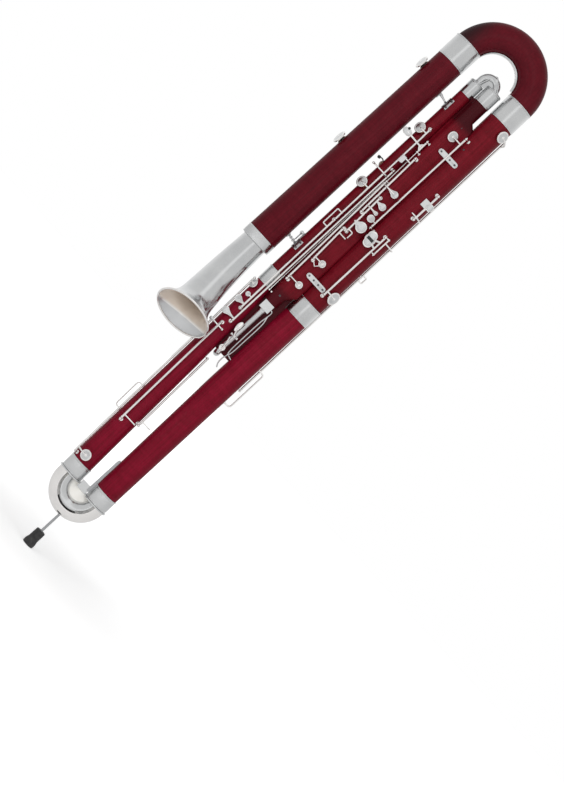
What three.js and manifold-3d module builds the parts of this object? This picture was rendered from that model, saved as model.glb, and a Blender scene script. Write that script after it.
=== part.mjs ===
import * as THREE from 'three';
import { mergeVertices } from 'three/addons/utils/BufferGeometryUtils.js';
import Module from 'manifold-3d';

// A contrabassoon. Lengths are in millimetres and turns in degrees. +Z runs up the instrument,
// -Y is the side with the keys, +X is the right side seen from there, and the origin is
// the centre of the foot's flat underside. Turns count from the front, positive to the right.

const wasm = await Module();
wasm.setup();

// Fits
const gap = 0.3;
const loose = 0.6;
const over = 1;
const weld = 0.001;

// Foot
const tipFootRadius = 13.5;
const tipNeckRadius = 11.4;
const tipLength = 40.6;
const tipFlare = 15;
const tipChamfer = 4;
const tipGrip = 28;
const pinRadius = 3;
const pinShown = 53;
const pinHeld = 44;
const socketWall = 2.4;
const socketRise = 52;
const screwRadius = 2.5;
const screwLength = 16;
const screwHeadRadius = 7;
const screwHeadThickness = 2.4;

// Boot bow
const bootX = -6.8;
const bootBend = 41;
const bootTubeRadius = 14.6;
const sheet = 1.2;
const guardRadius = 27;
const guardWall = 1.6;
const guardTurn = 75;
const flangeThickness = 3;
const flangeRim = 2;
const longFlangeRise = 8.6;
const webThickness = 3;
const webHeight = 20;

// Large joint, the right tube
const largeFootRadius = 27;
const largeSplitRadius = 28.9;
const largeTopRadius = 31;
const largeLowerLean = -2.9;
const largeUpperLean = -8.7;
const largeFerrule = 32;
const largeLower = 578.6;
const largeUpper = 542.6;
const largeMidFerrule = 43;

// Long joint, the left tube
const longFootRadius = 26;
const longSplitRadius = 18.7;
const longTopRadius = 15;
const longLowerLean = -17.1;
const longUpperLean = -5.9;
const longFerrule = 31;
const longSplitDrop = 4.2;
const longShoulderDrop = 14.6;
const longMidFerrule = 39;
const longTopFerrule = 35;

// Wing joint, the middle tube, and its thick side
const wingFootRadius = 17.3;
const wingTopRadius = 18.4;
const wingLean = -7.3;
const wingFootDrop = 60.2;
const wingFerrule = 37;
const wingRise = 12.5;
const wingFootFront = 10;
const wingTopFront = 6;
const thickRadius = 9;
const thickReach = 25;
const thickFront = 3;
const thickShares = [[0.04, 0.3], [0.075, 1], [0.885, 1], [0.92, 0.35]];
const tongueRise = 40;

// Top bow and bell joint, the outer left tube
const bowBend = 82.2;
const bowRadius = 32;
const bowFerrule = 55;
const bellFerruleRise = 8.3;
const bowStripWidth = 14;
const bowStripThickness = 2;
const bowStripTurn = 18;
const bellJointLength = 528.2;
const bellTopRadius = 32.6;
const bellFootRadius = 36;

// Bell
const bellCollar = 23;
const bellNeckRadius = 27.5;
const bellThroatRadius = 38.5;
const bellMouthRadius = 66.5;
const bellLength = 227;
const bellStraight = 34;
const bellBent = 100;
const bellTilt = 32.5;
const bellTurn = 6;
const bellRim = 2.2;

// Bores, ferrules and tenons
const slideBore = 6.4;
const longTopBore = 8;
const bowBore = 23;
const bellBore = 27;
const ferruleWall = 1.6;
const ferruleProud = 1;
const rimHeight = 2.2;
const rimProud = 0.9;
const tenonWall = 5;
const midTenon = 30;
const endTenonShare = 0.8;

// Small top bow and its guard wire
const smallBowRadius = 8.4;
const guardWire = 1.4;
const guardWireRise = 8;

// Water slide, receiver and tuning slide behind the wing joint
const slideRadius = 7.3;
const slideBend = 17;
const slideBlock = 27;
const slideBlockHeight = 20.5;
const slideDrop = 135.5;
const wireRadius = 1.5;
const receiverRadius = 9.4;
const receiverLowShare = 0.05;
const receiverHighShare = 0.52;
const tuningShown = 58;
const tuningHeld = 120;
const bocalCupRadius = 10.5;
const bocalCupLength = 26;
const bocalBore = 5;

// Keywork
const rodRadius = 1.1;
const barrelRadius = 2.4;
const barrelBore = 1.65;
const ballRadius = 2.9;
const postRadius = 1.6;
const keyLift = 7;
const armRadius = 1.7;
const armBow = 1.8;
const touchThickness = 2.2;
const touchLift = 11;
const seatRise = 1.6;
const padThickness = 1.8;
const cupDepth = 2.2;
const cupCrown = 1.3;
const padShare = 0.86;
const holeShare = 0.55;
const waistShare = 0.33;
const hopShare = 0.22;
const shoulderShare = 0.705;
const hopHeight = 6.5;
const guardStand = 15;
const guardShoulderShare = 0.7;
const guardEaseShare = 0.16;
const bridgeHalf = 7.5;
const bridgeReach = 9.9;
const blockReach = 18;
const squareReach = 8;
const diskReach = 5;
const doubleReach = 23;
const doubleApart = 9;
const crossbarReach = 30;
const topArmReach = 12;
const sideArmReach = 16;
const innerLift = 12.3;
const edgeLift = 8;
const innerClear = 15.6;
const leverThickness = 3.3;

// Faces of the touches: a round one has no tail, and a block is a box
const faces = {
  longFirst: { radius: 8, tail: 12 },
  longNext: { radius: 5.5 },
  longSecond: { radius: 8, tail: 16 },
  crossing: { radius: 8 },
  firstFinger: { radius: 8, tail: 14 },
  secondFinger: { radius: 4.5, tail: 10 },
  highUpper: { radius: 8, tail: 9 },
  highLower: { radius: 12, tail: 8 },
  largeInner: { radius: 8.4 },
  double: { radius: 10.5 },
  doubleWaist: { width: 16, height: 24 },
  largeBlock: { radius: 8.4 },
  thumb: { radius: 8, tail: 8 },
  weight: { width: 10, depth: 5, height: 16 },
  square: { width: 13, depth: 3.3, height: 18 },
};

// Where on its rail each touch or arm stands, how far across its tube a touch is, and how far a
// key that stands open is turned
const touchShares = {
  longFirst: 0.4223, longNext: 0.4395, longSecond: 0.3931, longSecondArm: 0.7485,
  firstFinger: 0.7365, crossing: 0.8258, crossingEnd: 0.8275, secondFinger: 0.6918, weight: 0.7931,
  highUpper: 0.7073, highLower: 0.6575, largeInner: 0.6798, double: 0.6558, doubleUpper: 0.664,
  doubleLower: 0.649, largeMid: 0.542, largeBlock: 0.7657, largeBlockArm: 0.7385, largeEdge: 0.93,
  lowFrontBar: 0.1459, lowFrontEnd: 0.3657, longInner: 0.1579, thumb: 0.64,
};
const acrossShares = {
  longFirst: -0.9, longNext: -0.5, longSecond: -0.9, firstFinger: 0.82, secondFinger: 0.82,
  highUpper: 0.8, highLower: 0.82, largeInner: 0.78,
};
const openTurns = { longFront: 12, firstFinger: -7, lowPair: -7, largeInner: 8, longEdge: -10, bellSide: -6 };

// Struts, plates and strap ring
const strutRadius = 2;
const saddleThickness = 1.8;
const tiePlateThickness = 2;
const tiePlateWidth = 12.5;
const tiePlateLength = 52;
const tiePlateTurn = 6;
const upperStrutHalf = 13.5;
const lowerStrutHalf = 11.5;
const saddleTurn = -78;
const sideTurn = 90;
const upperStrutShare = 0.911;
const lowerStrutShare = 0.5588;
const lugShare = 0.578;
const upperTieShare = 0.8464;
const lowerTieShare = 0.5373;
const largeGuardShares = [0.283, 0.364];
const longGuardShares = [0.144, 0.2];
const saddleHalfTurn = 24;
const ringRadius = 9;
const ringWire = 1.3;
const lugRadius = 4.4;

// Heights and places that follow from the sizes above. The three tubes part and end together.
const planeY = -(bootTubeRadius + gap + socketWall + gap + pinRadius);
const bootBottom = tipLength + pinShown;
const bootZ = bootBottom + guardRadius + bootBend;
const largeFlangeZ = bootZ + flangeThickness;
const longFlangeZ = largeFlangeZ + longFlangeRise;
const largeFerruleTop = largeFlangeZ + gap + largeFerrule;
const longFerruleTop = longFlangeZ + gap + longFerrule;
const largeSplit = largeFerruleTop + gap + largeLower;
const longSplit = largeSplit - longSplitDrop;
const largeShoulder = largeSplit + gap + largeUpper;
const longShoulder = largeShoulder - longShoulderDrop;
const bowZ = largeShoulder + gap + bowFerrule;
const bellFerruleTop = bowZ + bellFerruleRise;
const bellShoulder = bellFerruleTop - bowFerrule - gap;
const bellJointFoot = bellShoulder - bellJointLength;
const bellCollarFoot = bellJointFoot - gap - bellCollar;
const longTopZ = longShoulder + gap + longTopFerrule;
const wingTopZ = longTopZ + wingRise;
const wingShoulder = wingTopZ - wingFerrule - gap;
const wingFoot = largeSplit - wingFootDrop;
const boreBoot = bootTubeRadius - sheet;
const splitShare = 0.506598;

const point = (x, y, z) => new THREE.Vector3(x, y, z);
const turnOf = THREE.MathUtils.degToRad;
const mix = THREE.MathUtils.lerp;

// The tubes. Each leans a little, with level rings whose centres lie on its line. A line runs
// through two or three places, from the lowest up, each with the tube's radius there.
function tubeLine(...stations) {
  return stations.map(([centre, radius]) => ({ centre, radius }));
}

function legOf(line, z) {
  return line.length > 2 && z > line[1].centre.z ? [line[1], line[2]] : [line[0], line[1]];
}

const largeSplitX = bootX + bootBend + largeLowerLean;
const largeTopX = largeSplitX + largeUpperLean;
const longSplitX = bootX - bootBend + longLowerLean;
const longTopX = longSplitX + longUpperLean;
const smallBend = 18.3;
const wingTopX = longTopX + 2 * smallBend;
const bellX = largeTopX - 2 * bowBend;
const large = tubeLine([point(bootX + bootBend, planeY, bootZ), largeFootRadius],
  [point(largeSplitX, planeY, largeSplit), largeSplitRadius],
  [point(largeTopX, planeY, bowZ), largeTopRadius]);
const long = tubeLine([point(bootX - bootBend, planeY, longFlangeZ), longFootRadius],
  [point(longSplitX, planeY, longSplit), longSplitRadius],
  [point(longTopX, planeY, longTopZ), longTopRadius]);
const wing = tubeLine([point(wingTopX - wingLean, planeY - wingFootFront, wingFoot), wingFootRadius],
  [point(wingTopX, planeY - wingTopFront, wingTopZ), wingTopRadius]);
const bellLine = tubeLine([point(bellX, planeY, bellJointFoot), bellFootRadius],
  [point(bellX, planeY, bowZ), bellTopRadius]);

function shareOf([low, high], z) {
  return (z - low.centre.z) / (high.centre.z - low.centre.z);
}

function centreAt(line, z) {
  const leg = legOf(line, z);
  return new THREE.Vector3().lerpVectors(leg[0].centre, leg[1].centre, shareOf(leg, z));
}

function radiusAt(line, z) {
  const leg = legOf(line, z);
  return mix(leg[0].radius, leg[1].radius, shareOf(leg, z));
}

function facing(turn) {
  return point(Math.sin(turnOf(turn)), -Math.cos(turnOf(turn)), 0);
}

function spot(line, turn, z, distance) {
  return centreAt(line, z).addScaledVector(facing(turn), distance);
}

// Heights of the keywork, as shares of the stack from the boot bow to the top bow. A piece stays
// on its own side of the large joint's split.
function at(share) {
  return share < splitShare ? mix(bootZ, largeSplit, share / splitShare)
    : mix(largeSplit, bowZ, (share - splitShare) / (1 - splitShare));
}

// Solids
function solidOf(geometry) {
  const bare = geometry.clone();
  bare.deleteAttribute('normal');
  bare.deleteAttribute('uv');
  const merged = mergeVertices(bare, weld);
  const corners = merged.index.array;
  const kept = [];
  for (let i = 0; i < corners.length; i += 3) {
    const [a, b, c] = [corners[i], corners[i + 1], corners[i + 2]];
    if (a !== b && b !== c && c !== a) kept.push(a, b, c);
  }
  const build = (triVerts) => new wasm.Manifold(new wasm.Mesh({
    numProp: 3, vertProperties: new Float32Array(merged.attributes.position.array),
    triVerts: new Uint32Array(triVerts) }));
  const solid = build(kept);
  return solid.volume() > 0 ? solid : build(kept.toReversed());
}

function joined(solids) {
  return solids.reduce((whole, solid) => whole.add(solid));
}

function placed(solid, matrix) {
  return solid.transform([...matrix.elements]);
}

function moved(solid, offset) {
  return placed(solid, new THREE.Matrix4().makeTranslation(offset.x, offset.y, offset.z));
}

// A revolved profile of [radius, height] pairs about Z
function turned(profile, sides) {
  const outline = profile.map(([radius, height]) => new THREE.Vector2(radius, height));
  return solidOf(new THREE.LatheGeometry(outline, sides).rotateX(Math.PI / 2));
}

function ring(outer, inner, low, high, sides) {
  return turned([[inner, low], [outer, low], [outer, high], [inner, high], [inner, low]], sides);
}

function disc(radius, low, high, sides) {
  return turned([[0, low], [radius, low], [radius, high], [0, high]], sides);
}

// Turns a solid that was built along +Z from the origin to point from one place to another
function aimed(solid, from, direction) {
  const turn = new THREE.Quaternion().setFromUnitVectors(point(0, 0, 1), direction.clone().normalize());
  return placed(solid, new THREE.Matrix4().compose(from, turn, new THREE.Vector3(1, 1, 1)));
}

function rod(from, to, radius, sides) {
  const way = to.clone().sub(from);
  return aimed(disc(radius, 0, way.length(), sides), from, way);
}

function ball(centre, radius) {
  return moved(solidOf(new THREE.SphereGeometry(radius, 6, 4)), centre);
}

function sectionRing(radius, sides) {
  const corners = [];
  for (let i = 0; i < sides; i++) {
    const angle = 2 * Math.PI * i / sides;
    corners.push(new THREE.Vector2(radius * Math.cos(angle), radius * Math.sin(angle)));
  }
  return new THREE.Shape(corners);
}

function swept(curve, shape, steps) {
  return solidOf(new THREE.ExtrudeGeometry(shape, { steps, extrudePath: curve, bevelEnabled: false }));
}

// A plate drawn as a shape across X and Z, centred on a place, with its face to the front
function plate(shape, centre, thickness) {
  const corners = shape.getPoints(4);
  const apart = corners.filter((corner, i) => corner.distanceTo(corners.at(i - 1)) > weld);
  const geometry = new THREE.ExtrudeGeometry(new THREE.Shape(apart), {
    depth: thickness, bevelEnabled: false });
  geometry.translate(0, 0, -thickness / 2).rotateX(Math.PI / 2);
  return moved(solidOf(geometry), centre);
}

// A column on a leaning line: outer and inner outlines of [radius, height] from low to high
function column(line, outer, inner, sides) {
  const axis = [[0, outer[0][1]], [0, outer[outer.length - 1][1]]];
  const back = [...(inner ?? axis)].reverse();
  const profile = inner ? [...outer, ...back, outer[0]] : [axis[0], ...outer, axis[1]];
  const leg = legOf(line, mix(outer[0][1], outer[outer.length - 1][1], 0.5));
  const low = leg[0].centre;
  const run = leg[1].centre.clone().sub(low);
  const lean = run.divideScalar(run.z);
  const shear = new THREE.Matrix4().set(
    1, 0, lean.x, low.x - lean.x * low.z,
    0, 1, lean.y, low.y - lean.y * low.z,
    0, 0, 1, 0,
    0, 0, 0, 1);
  return placed(turned(profile, sides), shear);
}

const tubeSides = 20;
const boreSides = 10;
const bowSteps = 10;
const bowStripSteps = 4;
const rodSides = 6;
const armSides = 5;
const cupSides = 10;
const holeSides = 8;

// How far a faceted tube's skin is from its axis at some turn
function skinAt(line, turn, z) {
  const half = 180 / tubeSides;
  const past = ((turn % (2 * half)) + 2 * half) % (2 * half) - half;
  return radiusAt(line, z) * Math.cos(turnOf(half)) / Math.cos(turnOf(past));
}

// A round tube over a half circle between two places, with a straight leg at both ends. Rise is
// 1 for a bow that stands up and -1 for one that hangs.
function bowTube(from, to, rise, fromLeg, toLeg, radius, sides, steps = bowSteps) {
  const middle = from.clone().lerp(to, 0.5);
  const out = from.clone().sub(middle);
  const bend = out.length();
  out.normalize();
  const up = point(0, 0, rise);
  const side = out.clone().cross(up);
  const ringAt = (centre, radial) => sectionRing(radius, sides).getPoints().map((corner) => centre.clone()
    .addScaledVector(radial, corner.x).addScaledVector(side, corner.y));
  const rings = [ringAt(from.clone().addScaledVector(up, -fromLeg), out)];
  for (let i = 0; i <= steps; i++) {
    const angle = Math.PI * i / steps;
    const radial = out.clone().multiplyScalar(Math.cos(angle)).addScaledVector(up, Math.sin(angle));
    rings.push(ringAt(middle.clone().addScaledVector(radial, bend), radial));
  }
  rings.push(ringAt(to.clone().addScaledVector(up, -toLeg), out.clone().negate()));
  return lofted(rings);
}

// A solid through rings of places that have as many corners each, with level first and last rings
function lofted(rings) {
  const count = rings[0].length;
  const last = (rings.length - 1) * count;
  const index = [];
  for (let i = 0; i + 1 < rings.length; i++) {
    for (let j = 0; j < count; j++) {
      const next = (j + 1) % count;
      const [a, b, c, d] = [i * count + j, i * count + next, (i + 1) * count + next, (i + 1) * count + j];
      index.push(a, b, c, a, c, d);
    }
  }
  const caps = [[rings[0], 0, false], [rings.at(-1), last, true]];
  for (const [places, start, upright] of caps) {
    const flat = places.map((place) => new THREE.Vector2(place.x, place.y));
    const turnedOver = THREE.ShapeUtils.isClockWise(flat) === upright;
    for (const face of THREE.ShapeUtils.triangulateShape(flat, [])) {
      const [a, b, c] = turnedOver ? face.toReversed() : face;
      index.push(start + a, start + b, start + c);
    }
  }
  const geometry = new THREE.BufferGeometry().setFromPoints(rings.flat());
  geometry.setIndex(index);
  return solidOf(geometry);
}

// A round wire through places, with eased corners
function wire(places, radius, steps, sides = armSides) {
  const curve = new THREE.CatmullRomCurve3(places, false, 'centripetal');
  return swept(curve, sectionRing(radius, sides), steps);
}

// Cups and the tone holes under them. side shifts the seat across the direction it faces.
const cups = {
  longHigh: { on: long, share: 0.8481, turn: -32, radius: 12.4 },
  longLow: { on: long, share: 0.7124, turn: -32, radius: 12.4 },
  wingSmallLow: { on: wing, share: 0.5133, turn: 0, sideShare: 0.8, radius: 8.2 },
  wingSmallHigh: { on: wing, share: 0.5665, turn: 0, sideShare: 0.84, radius: 8.2 },
  wingHigh: { on: wing, share: 0.8773, turn: 22, radius: 12 },
  largeMid: { on: large, share: 0.5408, turn: 46, radius: 15 },
  largeHigh: { on: large, share: 0.9391, turn: 39.5, radius: 13.6 },
  longFoot: { on: long, share: 0.0505, turn: -4, radius: 12 },
  longMiddle: { on: long, share: 0.4535, turn: -34, radius: 9.5 },
  bellLow: { on: bellLine, share: 0.7365, turn: -82, radius: 15.6 },
  bellHigh: { on: bellLine, share: 0.927, turn: -82, radius: 15.6 },
  thumb: { on: long, share: 0.76, turn: -145, radius: 10 },
};

function seatOf(cup) {
  const z = at(cup.share);
  const radius = radiusAt(cup.on, z);
  const out = facing(cup.turn);
  const across = facing(cup.turn + sideTurn);
  const foot = centreAt(cup.on, z).addScaledVector(across, radius * (cup.sideShare ?? 0));
  return { foot, out, place: foot.clone().addScaledVector(out, radius + seatRise) };
}

// Raised seats and tone holes of the cups that a wooden joint carries between two heights
function withToneHoles(wood, line, low, high) {
  let whole = wood;
  for (const cup of Object.values(cups)) {
    const z = at(cup.share);
    if (cup.on !== line || z < low || z > high) continue;
    const { foot, out } = seatOf(cup);
    const reach = radiusAt(line, z) + seatRise;
    const seat = disc(cup.radius * padShare - over, reach / 2, reach, cupSides);
    const hole = disc(cup.radius * holeShare, 0, reach + over, holeSides);
    whole = whole.add(aimed(seat, foot, out)).subtract(aimed(hole, foot, out));
  }
  return whole;
}

function ferruleRadius(line, z) {
  return radiusAt(line, z) + ferruleProud;
}

function ferruleBore(line, z) {
  return ferruleRadius(line, z) - ferruleWall;
}

// A metal ferrule with a rim at its end away from the wood, which is its top where it is a socket
function ferrule(line, low, high) {
  const radius = Math.max(radiusAt(line, low), radiusAt(line, high)) + ferruleProud;
  const bore = radius - ferruleWall;
  return column(line, [[radius, low], [radius, high - rimHeight], [radius + rimProud, high - rimHeight],
    [radius + rimProud, high]], [[bore, low], [bore, high]], tubeSides);
}

function tenonRadius(line, low, high) {
  return Math.max(ferruleBore(line, low), ferruleBore(line, high)) - gap;
}

// A lower joint: tenon in its foot ferrule, and a socket at the top under the mid ferrule
function lowerJoint(line, foot, shoulder, split, band, footBore, splitBore) {
  const footTenon = tenonRadius(line, foot, shoulder);
  const seat = tenonRadius(line, split - band, split);
  const socket = splitBore + tenonWall;
  return column(line, [[footTenon, foot], [footTenon, shoulder], [radiusAt(line, shoulder), shoulder],
    [radiusAt(line, split - band), split - band], [seat, split - band], [seat, split]],
  [[footBore, foot], [splitBore, split - midTenon], [socket, split - midTenon], [socket, split]], tubeSides);
}

// An upper joint: tenon in the lower joint's socket, and a tenon in the top ferrule
function upperJoint(line, split, shoulder, top, splitBore, topBore) {
  const tenon = splitBore + tenonWall - loose;
  const topTenon = tenonRadius(line, shoulder, top);
  const end = mix(shoulder, top, endTenonShare);
  return column(line, [[tenon, split - midTenon + gap], [tenon, split + gap],
    [radiusAt(line, split), split + gap], [radiusAt(line, shoulder), shoulder], [topTenon, shoulder],
    [topTenon, end]], [[splitBore, split - midTenon + gap], [topBore, end]], tubeSides);
}

const largeSplitBore = mix(boreBoot, bowBore, 0.5);
const longSplitBore = mix(boreBoot, longTopBore, 0.5);

function largeJointLower() {
  const foot = largeFlangeZ + 2 * gap;
  const wood = lowerJoint(large, foot, largeFerruleTop + gap, largeSplit, largeMidFerrule + gap,
    boreBoot, largeSplitBore);
  return withToneHoles(wood, large, foot, largeSplit).add(guardOn(large, largeGuardShares, sideTurn));
}

function largeJointUpper() {
  const wood = upperJoint(large, largeSplit, largeShoulder, bowZ, largeSplitBore, bowBore);
  return withToneHoles(wood, large, largeSplit, largeShoulder);
}

function longJointLower() {
  const foot = longFlangeZ + 2 * gap;
  const wood = lowerJoint(long, foot, longFerruleTop + gap, longSplit, longMidFerrule + gap,
    boreBoot, longSplitBore);
  return withToneHoles(wood, long, foot, longSplit).add(guardOn(long, longGuardShares, -sideTurn));
}

function longJointUpper() {
  const wood = upperJoint(long, longSplit, longShoulder, longTopZ, longSplitBore, longTopBore);
  return withToneHoles(wood, long, longSplit, longShoulder).add(railSolid(rails.longBack));
}

// The outline that wraps two circles in a level plane, each given by its centre and radius
function wrapOutline(first, firstRadius, second, secondRadius) {
  const way = second.clone().sub(first);
  const heading = Math.atan2(way.y, way.x);
  const spread = Math.acos((firstRadius - secondRadius) / Math.hypot(way.x, way.y));
  const arc = (centre, radius, from, to, steps) => {
    const places = [];
    for (let i = 0; i <= steps; i++) {
      const angle = mix(from, to, i / steps);
      places.push(point(centre.x + radius * Math.cos(angle), centre.y + radius * Math.sin(angle), first.z));
    }
    return places;
  };
  return [...arc(second, secondRadius, heading - spread, heading + spread, 8),
    ...arc(first, firstRadius, heading + spread, heading + 2 * Math.PI - spread, 6)];
}

// What a tube takes up between two heights, wider by some clearance
function bodyOf(line, extra, low, high) {
  const stops = [low, ...line.map((station) => station.centre.z).filter((z) => z > low && z < high), high];
  const pieces = [];
  for (let i = 0; i + 1 < stops.length; i++) {
    const ends = [stops[i] - weld, stops[i + 1] + weld];
    pieces.push(column(line, ends.map((z) => [radiusAt(line, z) + extra, z]), null, tubeSides));
  }
  return joined(pieces);
}

// The wood that goes on below the wing joint's foot, between the two legs of the water slide
function wingTongue() {
  const [low, high] = [slideZ, wingFoot + tongueRise];
  const [front, back] = [slideFront.y + slideRadius + 2 * gap, slideBack.y - receiverRadius - over];
  const [left, right] = [centreAt(long, low).x, centreAt(large, low).x];
  const slab = solidOf(new THREE.BoxGeometry(right - left, back - front, high - low)
    .translate((left + right) / 2, (front + back) / 2, (low + high) / 2));
  const block = moved(disc(slideBlock / 2 + gap, wingFoot - slideBlockHeight - 2 * gap, wingFoot, tubeSides),
    point(slideFront.x, slideFront.y, 0));
  const tubes = [large, long].map((line) => bodyOf(line, gap, low - over, high + over));
  return [...tubes, block].reduce((rest, cut) => rest.subtract(cut), slab);
}

// The wing joint: a slim tube with a thick side that lies against the large joint
function wingJoint() {
  const tenon = tenonRadius(wing, wingShoulder, wingTopZ);
  const end = mix(wingShoulder, wingTopZ, endTenonShare);
  const footTenon = slideBlock / 2 - ferruleWall - gap;
  const blockDepth = slideBlockHeight - ferruleWall - 2 * gap;
  const tube = column(wing, [[footTenon, wingFoot - blockDepth], [footTenon, wingFoot],
    [wingFootRadius, wingFoot], [radiusAt(wing, wingShoulder), wingShoulder], [tenon, wingShoulder],
    [tenon, end]], null, tubeSides);
  const thick = lofted(thickShares.map(([share, reachShare]) => {
    const centre = centreAt(wing, mix(wingFoot, wingShoulder, share));
    const side = centre.clone().add(point(thickReach * reachShare, -thickFront * reachShare, 0));
    return wrapOutline(centre, wingFootRadius - over, side, thickRadius);
  }));
  const clear = ferruleProud + rimProud + gap;
  const band = bodyOf(large, clear, largeSplit - largeMidFerrule - gap, largeSplit + gap);
  const longBand = bodyOf(long, clear, longSplit - longMidFerrule - gap, longSplit + gap);
  const nest = bodyOf(large, gap, wingFoot, wingShoulder);
  const body = withToneHoles(joined([tube, thick, wingTongue()]), wing, wingFoot, wingShoulder);
  const bore = column(wing, [[slideBore, wingFoot - blockDepth - over], [longTopBore, end + over]],
    null, boreSides);
  return [band, longBand, nest, bore].reduce((rest, cut) => rest.subtract(cut), body);
}

// The boot bow: a metal U tube with a flange under each foot ferrule and a web between them
function bootBow() {
  const from = point(bootX - bootBend, planeY, bootZ);
  const to = point(bootX + bootBend, planeY, bootZ);
  const longLeg = longFlangeZ - bootZ;
  const tube = bowTube(from, to, -1, longLeg, flangeThickness, bootTubeRadius, cupSides);
  const bore = bowTube(from, to, -1, longLeg + over, flangeThickness + over, boreBoot, cupSides);
  const longFlange = moved(disc(longFootRadius + ferruleProud + rimProud + flangeRim,
    -flangeThickness, 0, tubeSides), point(from.x, planeY, longFlangeZ));
  const largeFlange = moved(disc(largeFootRadius + ferruleProud + rimProud + flangeRim,
    -flangeThickness, 0, tubeSides), point(to.x, planeY, largeFlangeZ));
  const webFrom = from.x + longFootRadius + ferruleProud + rimProud + gap;
  const webTo = to.x - largeFootRadius - ferruleProud - rimProud - gap;
  const web = solidOf(new THREE.BoxGeometry(webTo - webFrom, webThickness, webHeight)
    .translate((webFrom + webTo) / 2, planeY, largeFlangeZ - flangeThickness + webHeight / 2));
  return joined([tube, longFlange, largeFlange, web]).subtract(bore);
}

// The boot guard: a half shell along the outside of the bow, with the end pin's socket
function bootGuard() {
  const from = point(bootX - bootBend, planeY, bootZ);
  const to = point(bootX + bootBend, planeY, bootZ);
  const section = new THREE.Shape();
  const reach = turnOf(guardTurn);
  section.absarc(0, 0, guardRadius, -reach, reach, false);
  section.absarc(0, 0, guardRadius - guardWall, reach, -reach, true);
  const corners = section.getPoints(4).filter((corner, i, all) => corner.distanceTo(all.at(i - 1)) > weld);
  const shell = arcShell(corners, from, to);
  const socketTop = bootBottom + socketRise;
  const socketLow = bootBottom + guardRadius / 2;
  const socketRadius = pinRadius + gap + socketWall;
  const socket = disc(socketRadius, socketLow, socketTop, boreSides);
  const boss = rod(point(0, 0, socketTop - screwHeadRadius),
    point(0, socketRadius + socketWall, socketTop - screwHeadRadius), screwRadius + socketWall, boreSides);
  const screwHole = rod(point(0, 0, socketTop - screwHeadRadius),
    point(0, socketRadius + socketWall + over, socketTop - screwHeadRadius), screwRadius + gap, boreSides);
  const pinHole = disc(pinRadius + gap, bootBottom - over, socketTop + over, boreSides);
  const clear = bowTube(from, to, -1, over, over, bootTubeRadius + gap, cupSides);
  return joined([shell, socket, boss]).subtract(clear).subtract(pinHole).subtract(screwHole);
}

// Sweeps a section, drawn with its X pointing outwards, round the lower half circle of the boot
function arcShell(corners, from, to) {
  const middle = from.clone().lerp(to, 0.5);
  const rings = [];
  for (let i = 0; i <= bowSteps; i++) {
    const angle = Math.PI + Math.PI * i / bowSteps;
    const out = point(Math.cos(angle), 0, Math.sin(angle));
    rings.push(corners.map((corner) => middle.clone().addScaledVector(out, bootBend + corner.x)
      .add(point(0, corner.y, 0))));
  }
  return lofted(rings);
}

function endPin() {
  const low = tipLength - tipGrip;
  const top = bootBottom + pinHeld;
  return turned([[0, low], [pinRadius, low], [pinRadius, top - pinRadius / 2],
    [pinRadius / 2, top], [0, top]], boreSides);
}

function rubberTip() {
  const body = turned([[0, 0], [tipFootRadius - tipChamfer, 0], [tipFootRadius, tipChamfer],
    [tipFootRadius, tipFlare - tipChamfer], [tipNeckRadius, tipFlare], [tipNeckRadius, tipLength - over],
    [tipNeckRadius - over, tipLength], [0, tipLength]], tubeSides);
  return body.subtract(disc(pinRadius + gap, tipLength - tipGrip - gap, tipLength + over, boreSides));
}

function endPinScrew() {
  const z = bootBottom + socketRise - screwHeadRadius;
  const start = pinRadius + gap;
  const shank = rod(point(0, start, z), point(0, start + screwLength, z), screwRadius, boreSides);
  const half = point(screwHeadThickness / 2, 0, 0);
  const middle = point(0, start + screwLength + screwHeadRadius - over, z);
  const head = rod(middle.clone().sub(half), middle.clone().add(half), screwHeadRadius, cupSides);
  return shank.add(head);
}

// The wooden top bow with a reduced end inside each ferrule
function topBow() {
  const from = point(bellX, planeY, bowZ);
  const to = point(largeTopX, planeY, bowZ);
  const tenonTop = bowFerrule * (1 - endTenonShare) - gap;
  const bow = bowTube(from, to, 1, tenonTop, tenonTop, bowRadius, tubeSides);
  const bore = bowTube(from, to, 1, tenonTop + over, tenonTop + over, bowBore, boreSides);
  const bellSeat = ring(bowRadius * 2, ferruleBore(bellLine, bowZ) - gap, bowZ - bowFerrule,
    bellFerruleTop + gap, tubeSides);
  const largeSeat = ring(bowRadius * 2, ferruleBore(large, bowZ) - gap, bowZ - bowFerrule,
    bowZ + gap, tubeSides);
  return bow.subtract(bore).subtract(moved(bellSeat, point(bellX, planeY, 0)))
    .subtract(moved(largeSeat, point(largeTopX, planeY, 0)));
}

// The silver strip on the bow's inner face
function topBowGuard() {
  const inner = bowBend - bowRadius - gap;
  const middle = (bellX + largeTopX) / 2;
  const strip = new THREE.Shape();
  const low = turnOf(bowStripTurn);
  const high = Math.PI - low;
  strip.absarc(0, 0, inner, low, high, false);
  strip.absarc(0, 0, inner - bowStripThickness, high, low, true);
  const geometry = new THREE.ExtrudeGeometry(strip, { depth: bowStripWidth, bevelEnabled: false,
    curveSegments: bowStripSteps });
  geometry.translate(0, 0, -bowStripWidth / 2).rotateX(Math.PI / 2);
  return moved(solidOf(geometry), point(middle, planeY, bowZ));
}

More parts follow.
